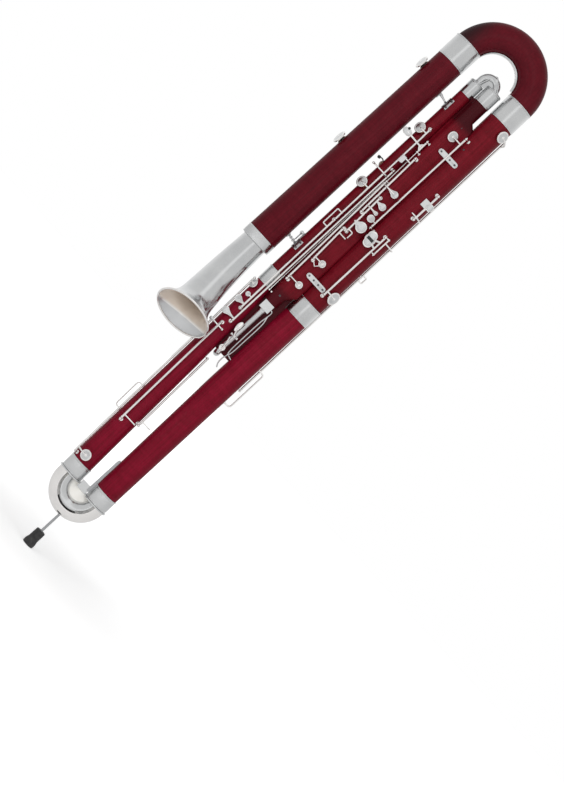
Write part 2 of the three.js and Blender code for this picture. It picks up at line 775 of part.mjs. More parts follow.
// The small top bow between the long joint's and the wing joint's ferrules
function smallTopBow() {
  const longEnd = centreAt(long, longTopZ);
  const wingEnd = centreAt(wing, wingTopZ);
  const from = point(longEnd.x, longEnd.y, wingTopZ + gap);
  const to = point(wingEnd.x, wingEnd.y, wingTopZ + gap);
  const wingLeg = wingFerrule * (1 - endTenonShare);
  const longLeg = longTopFerrule * (1 - endTenonShare) + wingRise;
  const tube = bowTube(from, to, 1, longLeg, wingLeg, smallBowRadius, boreSides);
  const bore = bowTube(from, to, 1, longLeg + over, wingLeg + over, smallBowRadius - sheet, boreSides);
  const longCap = moved(disc(longTopRadius + ferruleProud, 0, over * 2, boreSides),
    point(longEnd.x, longEnd.y, longTopZ + gap));
  const wingCap = moved(disc(wingTopRadius + ferruleProud, 0, over * 2, boreSides),
    point(wingEnd.x, wingEnd.y, wingTopZ + gap));
  const rise = smallBend + smallBowRadius - guardWire;
  const top = from.clone().lerp(to, 0.5).add(point(0, 0, rise));
  const guard = wire([
    point(longEnd.x + 2 * guardWire, longEnd.y - smallBowRadius - guardWire, longTopZ + gap + over),
    point(mix(longEnd.x, wingEnd.x, 0.28), longEnd.y - smallBowRadius, wingTopZ + guardWireRise * 1.6),
    point(top.x, top.y - smallBowRadius / 2, top.z + guardWire),
    point(mix(longEnd.x, wingEnd.x, 0.9), wingEnd.y - smallBowRadius, wingTopZ + guardWireRise * 1.6),
    point(wingEnd.x + smallBowRadius, wingEnd.y - smallBowRadius - guardWire, wingTopZ + gap + over),
  ], guardWire, bowSteps);
  return joined([tube, longCap, wingCap, guard]).subtract(bore);
}

function bellJoint() {
  const collarTenon = ferruleBore(bellLine, bellJointFoot) - gap;
  const topTenon = tenonRadius(bellLine, bellShoulder, bowZ);
  const end = mix(bellShoulder, bellFerruleTop, endTenonShare - bellFerruleRise / bowFerrule);
  const foot = bellJointFoot - bellCollar * endTenonShare;
  const wood = column(bellLine, [[collarTenon, foot], [collarTenon, bellJointFoot],
    [bellFootRadius, bellJointFoot], [radiusAt(bellLine, bellShoulder), bellShoulder],
    [topTenon, bellShoulder], [topTenon, end]], [[bellBore, foot], [bowBore, end]], tubeSides);
  return withToneHoles(wood, bellLine, bellJointFoot, bellShoulder).add(railSolid(rails.bellSide));
}

// The bell: a thin flared shell under a collar, bent towards the front below its straight neck
function bell() {
  const collar = ferruleRadius(bellLine, bellJointFoot);
  const flareShares = [[0.06, 0], [0.33, 0.29], [0.56, 0.64], [0.78, 1]];
  const lipShares = [[0.85, 0.14], [0.915, 0.42], [0.965, 0.75]];
  const walls = [[bellNeckRadius, 0],
    ...flareShares.map(([way, share]) => [mix(bellNeckRadius, bellThroatRadius, share), way * bellLength]),
    ...lipShares.map(([way, share]) => [mix(bellThroatRadius, bellMouthRadius, share), way * bellLength])];
  const outer = walls.map(([radius, way]) => [radius, -way]);
  const inner = walls.map(([radius, way]) => [radius - sheet, -way - sheet / 2]).reverse();
  const lip = [[bellMouthRadius - bellRim, -bellLength + bellRim], [bellMouthRadius, -bellLength + bellRim],
    [bellMouthRadius, -bellLength], [bellMouthRadius - bellRim, -bellLength - over / 2]];
  const profile = [[collar - ferruleWall, bellCollar], [collar, bellCollar], [collar, sheet],
    [bellNeckRadius + sheet, 0], ...outer.slice(1), ...lip,
    ...inner, [bellNeckRadius - sheet, sheet], [collar - ferruleWall, sheet * 2],
    [collar - ferruleWall, bellCollar]];
  const outline = profile.map(([radius, height]) => new THREE.Vector2(radius, height));
  const geometry = new THREE.LatheGeometry(outline, tubeSides);
  geometry.rotateX(Math.PI / 2).rotateZ(-turnOf(bellTurn));
  const places = geometry.attributes.position;
  const most = turnOf(bellTilt);
  const bendRadius = bellBent / most;
  for (let i = 0; i < places.count; i++) {
    const height = places.getZ(i);
    const depth = Math.max(0, -height - bellStraight);
    const angle = Math.min(depth / bellBent, 1) * most;
    const past = Math.max(0, depth - bellBent);
    const front = places.getY(i);
    const axisY = -bendRadius * (1 - Math.cos(angle)) - past * Math.sin(angle);
    const axisZ = Math.max(height, -bellStraight) - bendRadius * Math.sin(angle) - past * Math.cos(angle);
    places.setY(i, axisY + front * Math.cos(angle));
    places.setZ(i, axisZ - front * Math.sin(angle));
  }
  geometry.rotateZ(turnOf(bellTurn)).translate(bellX, planeY, bellCollarFoot);
  return solidOf(geometry);
}

// The water slide: square socket under the wing joint, U tube and a brace wire beside it
const slideFront = centreAt(wing, wingFoot);
const slideBack = slideFront.clone().add(point(0, 2 * slideBend, 0));
const slideZ = wingFoot - gap - slideDrop;
const receiverLow = mix(wingFoot, wingShoulder, receiverLowShare);
const receiverHigh = mix(wingFoot, wingShoulder, receiverHighShare);

function waterSlide() {
  const from = point(slideFront.x, slideFront.y, slideZ);
  const to = point(slideBack.x, slideBack.y, slideZ);
  const frontLeg = slideDrop - slideBlockHeight + over;
  const backLeg = receiverLow - gap - slideZ + midTenon;
  const tube = bowTube(from, to, -1, frontLeg, backLeg, slideRadius, boreSides);
  const bore = bowTube(from, to, -1, frontLeg + over * 2, backLeg + over, slideBore, boreSides);
  const blockTop = wingFoot - gap;
  const block = moved(disc(slideBlock / 2, -slideBlockHeight, 0, tubeSides),
    point(slideFront.x, slideFront.y, blockTop));
  const socket = moved(disc(slideBlock / 2 - ferruleWall, -slideBlockHeight + ferruleWall, over, tubeSides),
    point(slideFront.x, slideFront.y, blockTop));
  const wireX = slideFront.x + slideBlock / 2 + wireRadius;
  const braceLow = slideZ + 2 * slideRadius;
  const brace = wire([point(wireX - 2 * wireRadius, slideFront.y, blockTop - slideBlockHeight / 2),
    point(wireX + 2 * wireRadius, slideFront.y, blockTop - slideBlockHeight),
    point(wireX + 2 * wireRadius, slideFront.y, braceLow + 2 * slideRadius),
    point(wireX, slideFront.y, braceLow),
    point(slideFront.x + slideRadius - wireRadius / 2, slideFront.y, braceLow)], wireRadius, bowSteps);
  const lugs = [];
  const [pivot, lugHalf] = waterPivot();
  for (const end of [-1, 1]) {
    const lugX = pivot.x + end * (lugHalf + wireRadius);
    lugs.push(rod(point(lugX, slideFront.y - slideRadius / 2, pivot.z), point(lugX, pivot.y, pivot.z),
      wireRadius, rodSides));
    lugs.push(ball(point(lugX, pivot.y, pivot.z), wireRadius + over));
  }
  const pin = rod(point(pivot.x - lugHalf - wireRadius, pivot.y, pivot.z),
    point(pivot.x + lugHalf + wireRadius, pivot.y, pivot.z), rodRadius, rodSides);
  const vent = aimed(disc(slideBore / 3, 0, slideRadius * 2, rodSides),
    point(slideFront.x, slideFront.y + slideRadius / 2, slideZ), point(0, -1, 0));
  return joined([tube, block, brace, ...lugs, pin]).subtract(bore).subtract(socket).subtract(vent);
}

// The water key's cross pin, in front of the slide's tube
function waterPivot() {
  const lugHalf = slideRadius * 0.55;
  return [point(slideFront.x, slideFront.y - slideRadius - keyLift + over, slideZ + slideBend * 2), lugHalf];
}

function waterKey() {
  const [pivot, lugHalf] = waterPivot();
  const half = lugHalf - gap - over;
  const hub = rod(point(pivot.x - half, pivot.y, pivot.z), point(pivot.x + half, pivot.y, pivot.z),
    barrelRadius + over, cupSides);
  const padTop = slideFront.y - slideRadius - gap - padThickness - cupDepth;
  const pad = slideRadius * padShare;
  const crown = padThickness + cupDepth;
  const cupBody = aimed(turned([[0, 0], [pad, 0], [pad, padThickness], [slideRadius, padThickness],
    [slideRadius, crown], [0, crown + cupCrown]], cupSides),
  point(pivot.x, slideFront.y - slideRadius - gap, slideZ), point(0, -1, 0));
  const lowArm = wire([point(pivot.x, pivot.y - barrelRadius, pivot.z),
    point(pivot.x, pivot.y - barrelRadius, mix(slideZ, pivot.z, 0.5)),
    point(pivot.x, padTop - cupCrown / 2, slideZ)], armRadius, 6);
  const touchZ = pivot.z + slideBend * 2.2;
  const touchX = pivot.x - slideRadius;
  const highArm = wire([point(pivot.x, pivot.y - barrelRadius, pivot.z),
    point(pivot.x - slideRadius / 3, pivot.y - barrelRadius - over, mix(pivot.z, touchZ, 0.4)),
    point(touchX, pivot.y - barrelRadius - over, touchZ - slideRadius)], armRadius, 6);
  const paddle = plate(oval(slideRadius * 0.8, slideRadius * 2.6),
    point(touchX, pivot.y - barrelRadius - over, touchZ), touchThickness);
  const bore = rod(point(pivot.x - slideRadius * 2, pivot.y, pivot.z),
    point(pivot.x + slideRadius * 2, pivot.y, pivot.z), barrelBore, rodSides);
  return joined([hub, cupBody, lowArm, highArm, paddle]).subtract(bore);
}

// Receiver: outer tube on two saddles behind the wing joint
function receiverTube() {
  const tube = ring(receiverRadius, receiverRadius - sheet - over / 2, receiverLow, receiverHigh, boreSides);
  const floor = ring(receiverRadius, slideRadius + gap, receiverLow, receiverLow + midTenon / 2, boreSides);
  const band = ring(receiverRadius + over, receiverRadius - sheet, receiverHigh - rimHeight * 2,
    receiverHigh, boreSides);
  const feet = [];
  for (const share of [0.15, 0.85]) {
    const z = mix(receiverLow, receiverHigh, share);
    const centre = centreAt(wing, z);
    const away = point(slideBack.x, centre.y + radiusAt(wing, z) + gap, z);
    const back = point(slideBack.x, slideBack.y - receiverRadius + over, z);
    feet.push(rod(away, back, postRadius * 2, rodSides));
  }
  return joined([moved(joined([tube, floor, band]), point(slideBack.x, slideBack.y, 0)), ...feet]);
}

function tuningSlide() {
  const low = receiverHigh - tuningHeld;
  const top = receiverHigh + tuningShown;
  const cupLow = top - bocalCupLength;
  const radius = receiverRadius - sheet - over / 2 - gap;
  const body = turned([[slideBore, low], [radius, low], [radius, cupLow], [bocalCupRadius, cupLow + over],
    [bocalCupRadius, top - rimHeight], [bocalCupRadius + over, top - rimHeight], [bocalCupRadius + over, top],
    [bocalBore + over, top], [bocalBore, cupLow], [slideBore, cupLow - over * 2], [slideBore, low]],
  boreSides);
  return moved(body, point(slideBack.x, slideBack.y, 0));
}

// Outlines of plates and touches, drawn round the origin
function round(radius) {
  const shape = new THREE.Shape();
  shape.absarc(0, 0, radius, 0, 2 * Math.PI, false);
  return shape;
}

function oval(width, height) {
  const shape = new THREE.Shape();
  const flat = height / 2 - width / 2;
  shape.absarc(0, flat, width / 2, 0, Math.PI, false);
  shape.absarc(0, -flat, width / 2, Math.PI, 2 * Math.PI, false);
  return shape;
}

function teardrop(radius, tail, side) {
  const shape = new THREE.Shape();
  const tip = armRadius;
  const end = side * (radius + tail);
  const waist = side * (radius + tail * waistShare);
  const spread = Math.PI * (1 - shoulderShare);
  const away = side > 0 ? 0 : Math.PI;
  shape.moveTo(end, -side * tip);
  const start = new THREE.Vector2(radius, 0).rotateAround(new THREE.Vector2(), away - spread);
  shape.quadraticCurveTo(waist, -side * tip, start.x, start.y);
  shape.absarc(0, 0, radius, away - spread, away + spread, true);
  shape.quadraticCurveTo(waist, side * tip, end, side * tip);
  return shape;
}

// A touch's plate with its round face centred on a place and its tail to the given side
function face({ radius, tail }, centre, side = 1) {
  return plate(tail ? teardrop(radius, tail, side) : round(radius), centre, touchThickness);
}

function blockAt({ width, depth, height }, centre) {
  return moved(solidOf(new THREE.BoxGeometry(width, depth, height)), centre);
}

// Steel rods on posts. A rail's places come from the tube that carries it.
function railEnds(rail) {
  const lift = rail.lift ?? keyLift;
  const [low, high] = [at(rail.low), at(rail.high)];
  return [spot(rail.on, rail.lowTurn, low, radiusAt(rail.on, low) + lift),
    spot(rail.on, rail.highTurn, high, radiusAt(rail.on, high) + lift)];
}

function onRail(rail, z) {
  const [a, b] = railEnds(rail);
  return a.clone().lerp(b, (z - a.z) / (b.z - a.z));
}

function post(rail, z) {
  const head = onRail(rail, z);
  const centre = centreAt(rail.on, z);
  const out = head.clone().sub(centre);
  const turn = THREE.MathUtils.radToDeg(Math.atan2(out.x, -out.y));
  const start = rail.rooted ? -over : gap;
  const foot = centre.addScaledVector(out.normalize(), skinAt(rail.on, turn, z) + start);
  return rod(foot, head, postRadius, rodSides).add(ball(head, ballRadius));
}

function railStops(rail) {
  return [rail.low, ...(rail.mids ?? []), rail.high].map(at);
}

function railSolid(rail) {
  const [a, b] = railEnds(rail);
  return joined([rod(a, b, rodRadius, armSides), ...railStops(rail).map((z) => post(rail, z))]);
}

// A key: barrels between the posts, its arms, cups and touches, bored for the rod
function keySolid(rail, pieces, options = {}) {
  const [a, b] = railEnds(rail);
  const away = ballRadius + gap;
  const stops = options.stops ?? railStops(rail);
  const barrels = [];
  for (let i = 0; i + 1 < stops.length; i++) {
    const [low, high] = [stops[i] + away, stops[i + 1] - away];
    barrels.push(rod(onRail(rail, low), onRail(rail, high), barrelRadius, rodSides));
  }
  for (let i = 1; i + 1 < stops.length; i++) barrels.push(bridge(rail, stops[i], options.bridgeSide ?? -1));
  const bore = rod(onRail(rail, a.z - over), onRail(rail, b.z + over), barrelBore, rodSides);
  const key = joined([...barrels, ...pieces]).subtract(bore);
  return options.open ? turnedOn(rail, key, options.open) : key;
}

// Turns a solid about a rail by some degrees, right hand about the upward rod
function turnedOn(rail, solid, turn) {
  const [a, b] = railEnds(rail);
  const matrix = new THREE.Matrix4().makeTranslation(a.x, a.y, a.z)
    .multiply(new THREE.Matrix4().makeRotationAxis(b.clone().sub(a).normalize(), turnOf(turn)))
    .multiply(new THREE.Matrix4().makeTranslation(-a.x, -a.y, -a.z));
  return placed(solid, matrix);
}

// The square bracket by which a barrel passes one of its posts
function bridge(rail, z, side) {
  const low = onRail(rail, z - bridgeHalf);
  const high = onRail(rail, z + bridgeHalf);
  const lowOut = low.clone().add(point(side * bridgeReach, 0, 0));
  const highOut = high.clone().add(point(side * bridgeReach, 0, 0));
  return joined([rod(low, lowOut, armRadius, armSides), rod(highOut, high, armRadius, armSides),
    rod(lowOut.clone().add(point(0, 0, -armRadius)), highOut.clone().add(point(0, 0, armRadius)),
      armRadius, armSides)]);
}

// An arm from a rail to a place, raised by a hop over what lies between
function arm(rail, share, to, hop = 0) {
  const from = onRail(rail, at(share));
  if (hop === 0) return rod(from, to, armRadius, armSides);
  const lifted = Math.min(from.y, to.y) - hop;
  const near = from.clone().lerp(to, hopShare);
  const far = to.clone().lerp(from, hopShare);
  return wire([from, point(near.x, lifted, near.z), point(far.x, lifted, far.z), to], armRadius, 7);
}

function cupSolid(cup) {
  const { place, out } = seatOf(cup);
  const top = gap + padThickness + cupDepth;
  return aimed(turned([[0, gap], [cup.radius * padShare, gap], [cup.radius * padShare, gap + padThickness],
    [cup.radius, gap + padThickness], [cup.radius, top], [cup.radius * padShare, top + cupCrown],
    [0, top + cupCrown]], cupSides), place, out);
}

function cupTop(cup) {
  const { place, out } = seatOf(cup);
  return place.clone().addScaledVector(out, gap + padThickness + cupDepth + cupCrown / 2);
}

// An arm from a rail to its cup, bowed round the tube that carries both
function cupWithArm(rail, cup, share = cup.share) {
  const from = onRail(rail, at(share));
  const to = cupTop(cup);
  const places = [];
  const polar = (place) => {
    const centre = centreAt(cup.on, place.z);
    const off = place.clone().sub(centre);
    return { turn: Math.atan2(off.x, -off.y), reach: Math.hypot(off.x, off.y) };
  };
  const [a, b] = [polar(from), polar(to)];
  const steps = Math.max(2, Math.ceil(Math.abs(b.turn - a.turn) / turnOf(20)));
  for (let i = 0; i <= steps; i++) {
    const step = i / steps;
    const z = mix(from.z, to.z, step);
    const reach = mix(a.reach, b.reach, step) + armBow * Math.sin(Math.PI * step);
    places.push(spot(cup.on, THREE.MathUtils.radToDeg(mix(a.turn, b.turn, step)), z, reach));
  }
  return [cupSolid(cup), wire(places, armRadius, steps * 2)];
}

// A touch's place over the wing joint's or another tube's front, given across it in shares of its radius
function touchPlace(line, across, share, lift = touchLift) {
  const z = at(share);
  const radius = radiusAt(line, z);
  return centreAt(line, z).add(point(across * radius, -radius - lift, 0));
}

// The rod on the long joint's inner side ends below the water slide
const innerTop = slideZ - slideBend - slideRadius - innerClear;
const innerHigh = splitShare * (innerTop - bootZ) / (largeSplit - bootZ);

const rails = {
  longFront: { on: long, low: 0.4137, high: 0.8584, lowTurn: 0, highTurn: 6, mids: [0.6335] },
  longSecond: { on: long, low: 0.3863, high: 0.7639, lowTurn: 14.6, highTurn: 33 },
  wingOuter: { on: wing, low: 0.5064, high: 0.8395, lowTurn: -36, highTurn: -52, mids: [0.7433, 0.8155] },
  wingSecond: { on: wing, low: 0.6764, high: 0.8052, lowTurn: -22, highTurn: -28 },
  wingLowPair: { on: wing, low: 0.5597, high: 0.6352, lowTurn: -14, highTurn: -22 },
  wingHighPair: { on: wing, low: 0.6352, high: 0.7159, lowTurn: -1, highTurn: -6 },
  largeInner: { on: large, low: 0.6695, high: 0.891, lowTurn: -46, highTurn: -38.6, lift: innerLift },
  largeFront: { on: large, low: 0.5305, high: 0.6764, lowTurn: 7, highTurn: 10 },
  largeBlock: { on: large, low: 0.733, high: 0.7897, lowTurn: 31.4, highTurn: 32.4 },
  largeEdge: { on: large, low: 0.3159, high: 0.9391, lowTurn: 112, highTurn: 112, mids: [0.6] },
  longEdge: { on: long, low: 0.0412, high: 0.4655, lowTurn: -56, highTurn: -61, lift: edgeLift },
  longLowFront: { on: long, low: 0.1356, high: 0.3742, lowTurn: -17, highTurn: -13 },
  longInner: { on: long, low: 0.1494, high: innerHigh, lowTurn: 64, highTurn: 85 },
  bellSide: { on: bellLine, low: 0.716, high: 0.9494, lowTurn: -142, highTurn: -142, rooted: true },
  longBack: { on: long, low: 0.62, high: 0.775, lowTurn: -175, highTurn: -175, rooted: true },
};

// The keys, each drawn with its pads closed and then opened where it stands open
function longFrontKey() {
  const rail = rails.longFront;
  const first = touchPlace(long, acrossShares.longFirst, touchShares.longFirst, keyLift);
  const second = touchPlace(long, acrossShares.longNext, touchShares.longNext, keyLift);
  return keySolid(rail, [
    ...cupWithArm(rail, cups.longHigh), ...cupWithArm(rail, cups.longLow),
    face(faces.longFirst, first), arm(rail, touchShares.longFirst, first),
    face(faces.longNext, second), arm(rail, touchShares.longNext, second)], { open: openTurns.longFront });
}

function longSecondKey() {
  const rail = rails.longSecond;
  const touch = touchPlace(long, acrossShares.longSecond, touchShares.longSecond, keyLift);
  const endX = bellX + bellTopRadius + hopHeight * 2;
  const end = point(endX, railEnds(rail)[1].y - hopHeight, at(touchShares.longSecondArm));
  return keySolid(rail, [face(faces.longSecond, touch), arm(rail, touchShares.longSecond, touch),
    arm(rail, touchShares.longSecondArm, end, hopHeight), ball(end, ballRadius)]);
}

function firstFingerKey() {
  const rail = rails.wingOuter;
  const touch = touchPlace(wing, acrossShares.firstFinger, touchShares.firstFinger);
  return keySolid(rail, [face(faces.firstFinger, touch, -1), arm(rail, touchShares.firstFinger, touch, over),
    ...cupWithArm(rail, cups.wingSmallLow)],
  { stops: [rail.low, rail.mids[0]].map(at), open: openTurns.firstFinger });
}

function crossingLever() {
  const rail = rails.wingOuter;
  const endX = bellX + bellTopRadius + keyLift + gap;
  const end = point(endX, onRail(rail, at(touchShares.crossing)).y - hopHeight / 2,
    at(touchShares.crossingEnd));
  return keySolid(rail, [arm(rail, touchShares.crossing, end, hopHeight / 2),
    plate(round(faces.crossing.radius), end, leverThickness)], { stops: [rail.mids[1], rail.high].map(at) });
}

function secondFingerKey() {
  const rail = rails.wingSecond;
  const touch = touchPlace(wing, acrossShares.secondFinger, touchShares.secondFinger);
  const block = onRail(rail, at(touchShares.weight)).add(point(-blockReach, -over, 0));
  return keySolid(rail, [face(faces.secondFinger, touch, -1),
    arm(rail, touchShares.secondFinger, touch, over * 2),
    arm(rail, touchShares.weight, block), blockAt(faces.weight, block)]);
}

function lowPairKey() {
  const rail = rails.wingLowPair;
  return keySolid(rail, cupWithArm(rail, cups.wingSmallHigh), { open: openTurns.lowPair });
}

function highPairKey() {
  const rail = rails.wingHighPair;
  const upper = touchPlace(wing, acrossShares.highUpper, touchShares.highUpper);
  const lower = touchPlace(wing, acrossShares.highLower, touchShares.highLower);
  return keySolid(rail, [face(faces.highUpper, upper, -1), arm(rail, touchShares.highUpper, upper),
    face(faces.highLower, lower, -1), arm(rail, touchShares.highLower, lower)]);
}

function largeInnerKey() {
  const rail = rails.largeInner;
  const touch = touchPlace(wing, acrossShares.largeInner, touchShares.largeInner);
  return keySolid(rail, [...cupWithArm(rail, cups.wingHigh), face(faces.largeInner, touch),
    arm(rail, touchShares.largeInner, touch)], { open: openTurns.largeInner });
}

function largeFrontKey() {
  const rail = rails.largeFront;
  const touch = onRail(rail, at(touchShares.double)).add(point(-doubleReach, -keyLift, 0));
  const upper = touch.clone().add(point(0, 0, doubleApart));
  const lower = touch.clone().add(point(over * 2, 0, -doubleApart));
  const { width, height } = faces.doubleWaist;
  return keySolid(rail, [face(faces.double, upper), face(faces.double, lower),
    plate(oval(width, height), touch, touchThickness), arm(rail, touchShares.doubleUpper, upper),
    arm(rail, touchShares.doubleLower, lower),
    ...cupWithArm(rail, cups.largeMid, touchShares.largeMid)]);
}

function largeBlockKey() {
  const rail = rails.largeBlock;
  const middle = onRail(rail, at(touchShares.largeBlock));
  const square = middle.clone().add(point(-squareReach, 0, 0));
  const disk = middle.clone().add(point(diskReach, -barrelRadius - over, 0));
  const left = onRail(rail, at(touchShares.largeBlockArm)).add(point(-topArmReach, 0, 0));
  return keySolid(rail, [blockAt(faces.square, square),
    plate(round(faces.largeBlock.radius), disk, leverThickness), arm(rail, touchShares.largeBlockArm, left)]);
}

function largeEdgeKey() {
  const rail = rails.largeEdge;
  return keySolid(rail, cupWithArm(rail, cups.largeHigh, touchShares.largeEdge), { bridgeSide: 1 });
}

function longEdgeKey() {
  const rail = rails.longEdge;
  const pieces = [...cupWithArm(rail, cups.longFoot), ...cupWithArm(rail, cups.longMiddle)];
  return keySolid(rail, pieces, { open: openTurns.longEdge });
}

function longLowFrontKey() {
  const rail = rails.longLowFront;
  const right = onRail(rail, at(touchShares.lowFrontBar)).add(point(crossbarReach, 0, 0));
  const end = onRail(rail, at(touchShares.lowFrontEnd)).add(point(topArmReach, 0, 0));
  return keySolid(rail, [arm(rail, touchShares.lowFrontBar, right),
    arm(rail, touchShares.lowFrontEnd, end), ball(end, ballRadius)]);
}

function longInnerKey() {
  const rail = rails.longInner;
  return keySolid(rail, [arm(rail, touchShares.longInner,
    onRail(rail, at(touchShares.longInner)).add(point(sideArmReach, 0, 0)))]);
}

function bellSideKey() {
  const rail = rails.bellSide;
  const pieces = [...cupWithArm(rail, cups.bellLow), ...cupWithArm(rail, cups.bellHigh)];
  return keySolid(rail, pieces, { open: openTurns.bellSide });
}

function thumbKey() {
  const rail = rails.longBack;
  const touch = onRail(rail, at(touchShares.thumb)).add(point(sideArmReach, keyLift, 0));
  return keySolid(rail, [...cupWithArm(rail, cups.thumb), face(faces.thumb, touch, -1),
    arm(rail, touchShares.thumb, touch)]);
}

// A saddle that hugs a tube over a spread of turns
function saddle(line, low, high, turn, spread) {
  const z = (low + high) / 2;
  const radius = Math.max(radiusAt(line, low), radiusAt(line, high)) + gap;
  const shape = new THREE.Shape();
  const [from, to] = [turnOf(turn - sideTurn - spread), turnOf(turn - sideTurn + spread)];
  shape.absarc(0, 0, radius + saddleThickness, from, to, false);
  shape.absarc(0, 0, radius, to, from, true);
  const geometry = new THREE.ExtrudeGeometry(shape, {
    depth: high - low, bevelEnabled: false, curveSegments: bowStripSteps });
  return moved(solidOf(geometry), centreAt(line, z).setZ(low));
}

// A strut between the long joint and the bell joint: a saddle on each and a rod between them
function strut(share, half) {
  const z = at(share);
  const onLong = saddle(long, z - half, z + half, saddleTurn, saddleHalfTurn);
  const onBell = saddle(bellLine, z - half / 2, z + half / 2, sideTurn, saddleHalfTurn / 2);
  const from = spot(long, -sideTurn, z, radiusAt(long, z) + gap + saddleThickness / 2);
  const to = spot(bellLine, sideTurn, z, radiusAt(bellLine, z) + gap + saddleThickness / 2);
  return joined([onLong, onBell, rod(from, to, strutRadius, rodSides)]);
}

function ringCentre() {
  const z = at(lugShare);
  return spot(long, saddleTurn, z, radiusAt(long, z) + gap + saddleThickness + lugRadius);
}

function lowerStrut() {
  const eye = ringCentre();
  const onLong = saddle(long, at(lowerStrutShare), eye.z + lugRadius, saddleTurn, saddleHalfTurn / 2);
  const half = point(0, ringWire, 0);
  const lug = rod(eye.clone().sub(half), eye.clone().add(half), lugRadius, boreSides);
  const root = spot(long, saddleTurn, eye.z, radiusAt(long, eye.z) + gap + saddleThickness / 2);
  const stem = rod(root, eye.clone().lerp(root, 0.5), ringWire, armSides);
  const deep = half.clone().multiplyScalar(2);
  const hole = rod(eye.clone().sub(deep), eye.clone().add(deep), ringWire + loose, cupSides);
  return joined([strut(lowerStrutShare, lowerStrutHalf), onLong, lug, stem]).subtract(hole);
}

function strapRing() {
  const loop = solidOf(new THREE.TorusGeometry(ringRadius, ringWire, armSides, tubeSides)
    .rotateY(Math.PI / 2));
  return moved(loop, ringCentre().add(point(0, 0, gap - loose - ringRadius)));
}

// A tie plate across the seam between the wing joint and the large joint
function tiePlate(share) {
  const z = at(share);
  const left = spot(wing, tiePlateTurn, z, radiusAt(wing, z) + gap);
  const crest = spot(large, -tiePlateTurn, z, radiusAt(large, z) + gap);
  const way = crest.clone().sub(left).normalize();
  const shape = oval(tiePlateWidth, tiePlateLength);
  const geometry = new THREE.ExtrudeGeometry(shape, { depth: tiePlateThickness, bevelEnabled: false,
    curveSegments: armSides });
  geometry.rotateZ(Math.PI / 2).rotateX(Math.PI / 2).rotateZ(Math.atan2(way.y, way.x));
  return moved(solidOf(geometry), left.addScaledVector(way, tiePlateLength / 2 + tiePlateWidth / 2));
}

// A guard wire that stands on the wood beside a rod
function guardOn(line, [low, high], turn) {
  const reach = (share, out) => spot(line, turn, at(share), radiusAt(line, at(share)) + out);
  return wire([reach(low, -over), reach(low, guardStand * guardShoulderShare),
    reach(mix(low, high, guardEaseShare), guardStand), reach(mix(high, low, guardEaseShare), guardStand),
    reach(high, guardStand * guardShoulderShare), reach(high, -over)], guardWire, boreSides);
}

// Colours and finishes
const finishes = {
  wood: { color: 0x7a1428, roughness: 0.25, metalness: 0 },
  darkWood: { color: 0x5c1a20, roughness: 0.25, metalness: 0 },
  silver: { color: 0xc4c6c8, roughness: 0.25, metalness: 1 },
  steel: { color: 0x8e9093, roughness: 0.35, metalness: 1 },
  rubber: { color: 0x2a2a2a, roughness: 0.8, metalness: 0 },
};

const contrabassoon = new THREE.Group();

function add(name, solid, finish) {
  const { vertProperties, triVerts } = solid.simplify(weld * 10).getMesh();
  const geometry = new THREE.BufferGeometry();
  geometry.setAttribute('position', new THREE.Float32BufferAttribute(vertProperties, 3));
  geometry.setIndex([...triVerts]);
  geometry.computeVertexNormals();
  const mesh = new THREE.Mesh(geometry, new THREE.MeshStandardMaterial(finishes[finish]));
  mesh.name = name;
  contrabassoon.add(mesh);
}

add('rubber_tip', rubberTip(), 'rubber');
add('end_pin', endPin(), 'steel');
add('end_pin_screw', endPinScrew(), 'silver');
add('boot_guard', bootGuard(), 'silver');
add('boot_bow', bootBow(), 'silver');
add('large_foot_ferrule', ferrule(large, largeFlangeZ + gap, largeFerruleTop), 'silver');
add('large_joint_lower', largeJointLower(), 'wood');
add('large_mid_ferrule', ferrule(large, largeSplit - largeMidFerrule, largeSplit), 'silver');
add('large_joint_upper', largeJointUpper(), 'wood');
add('large_top_ferrule', ferrule(large, largeShoulder + gap, bowZ), 'silver');
add('long_foot_ferrule', ferrule(long, longFlangeZ + gap, longFerruleTop), 'silver');
add('long_joint_lower', longJointLower(), 'wood');
add('long_mid_ferrule', ferrule(long, longSplit - longMidFerrule, longSplit), 'silver');
add('long_joint_upper', longJointUpper(), 'wood');
add('long_top_ferrule', ferrule(long, longShoulder + gap, longTopZ), 'silver');
add('wing_joint', wingJoint(), 'wood');
add('wing_top_ferrule', ferrule(wing, wingShoulder + gap, wingTopZ), 'silver');
add('small_top_bow', smallTopBow(), 'silver');
add('top_bow', topBow(), 'darkWood');
add('top_bow_guard', topBowGuard(), 'silver');
add('bell_joint_ferrule', ferrule(bellLine, bellShoulder + gap, bellFerruleTop), 'silver');
add('bell_joint', bellJoint(), 'darkWood');
add('bell', bell(), 'silver');
add('water_slide', waterSlide(), 'silver');
add('water_key', waterKey(), 'silver');
add('receiver_tube', receiverTube(), 'silver');
add('tuning_slide', tuningSlide(), 'silver');
add('upper_strut', strut(upperStrutShare, upperStrutHalf), 'steel');
add('lower_strut', lowerStrut(), 'steel');
add('strap_ring', strapRing(), 'steel');
add('upper_tie_plate', tiePlate(upperTieShare), 'silver');
add('lower_tie_plate', tiePlate(lowerTieShare), 'silver');

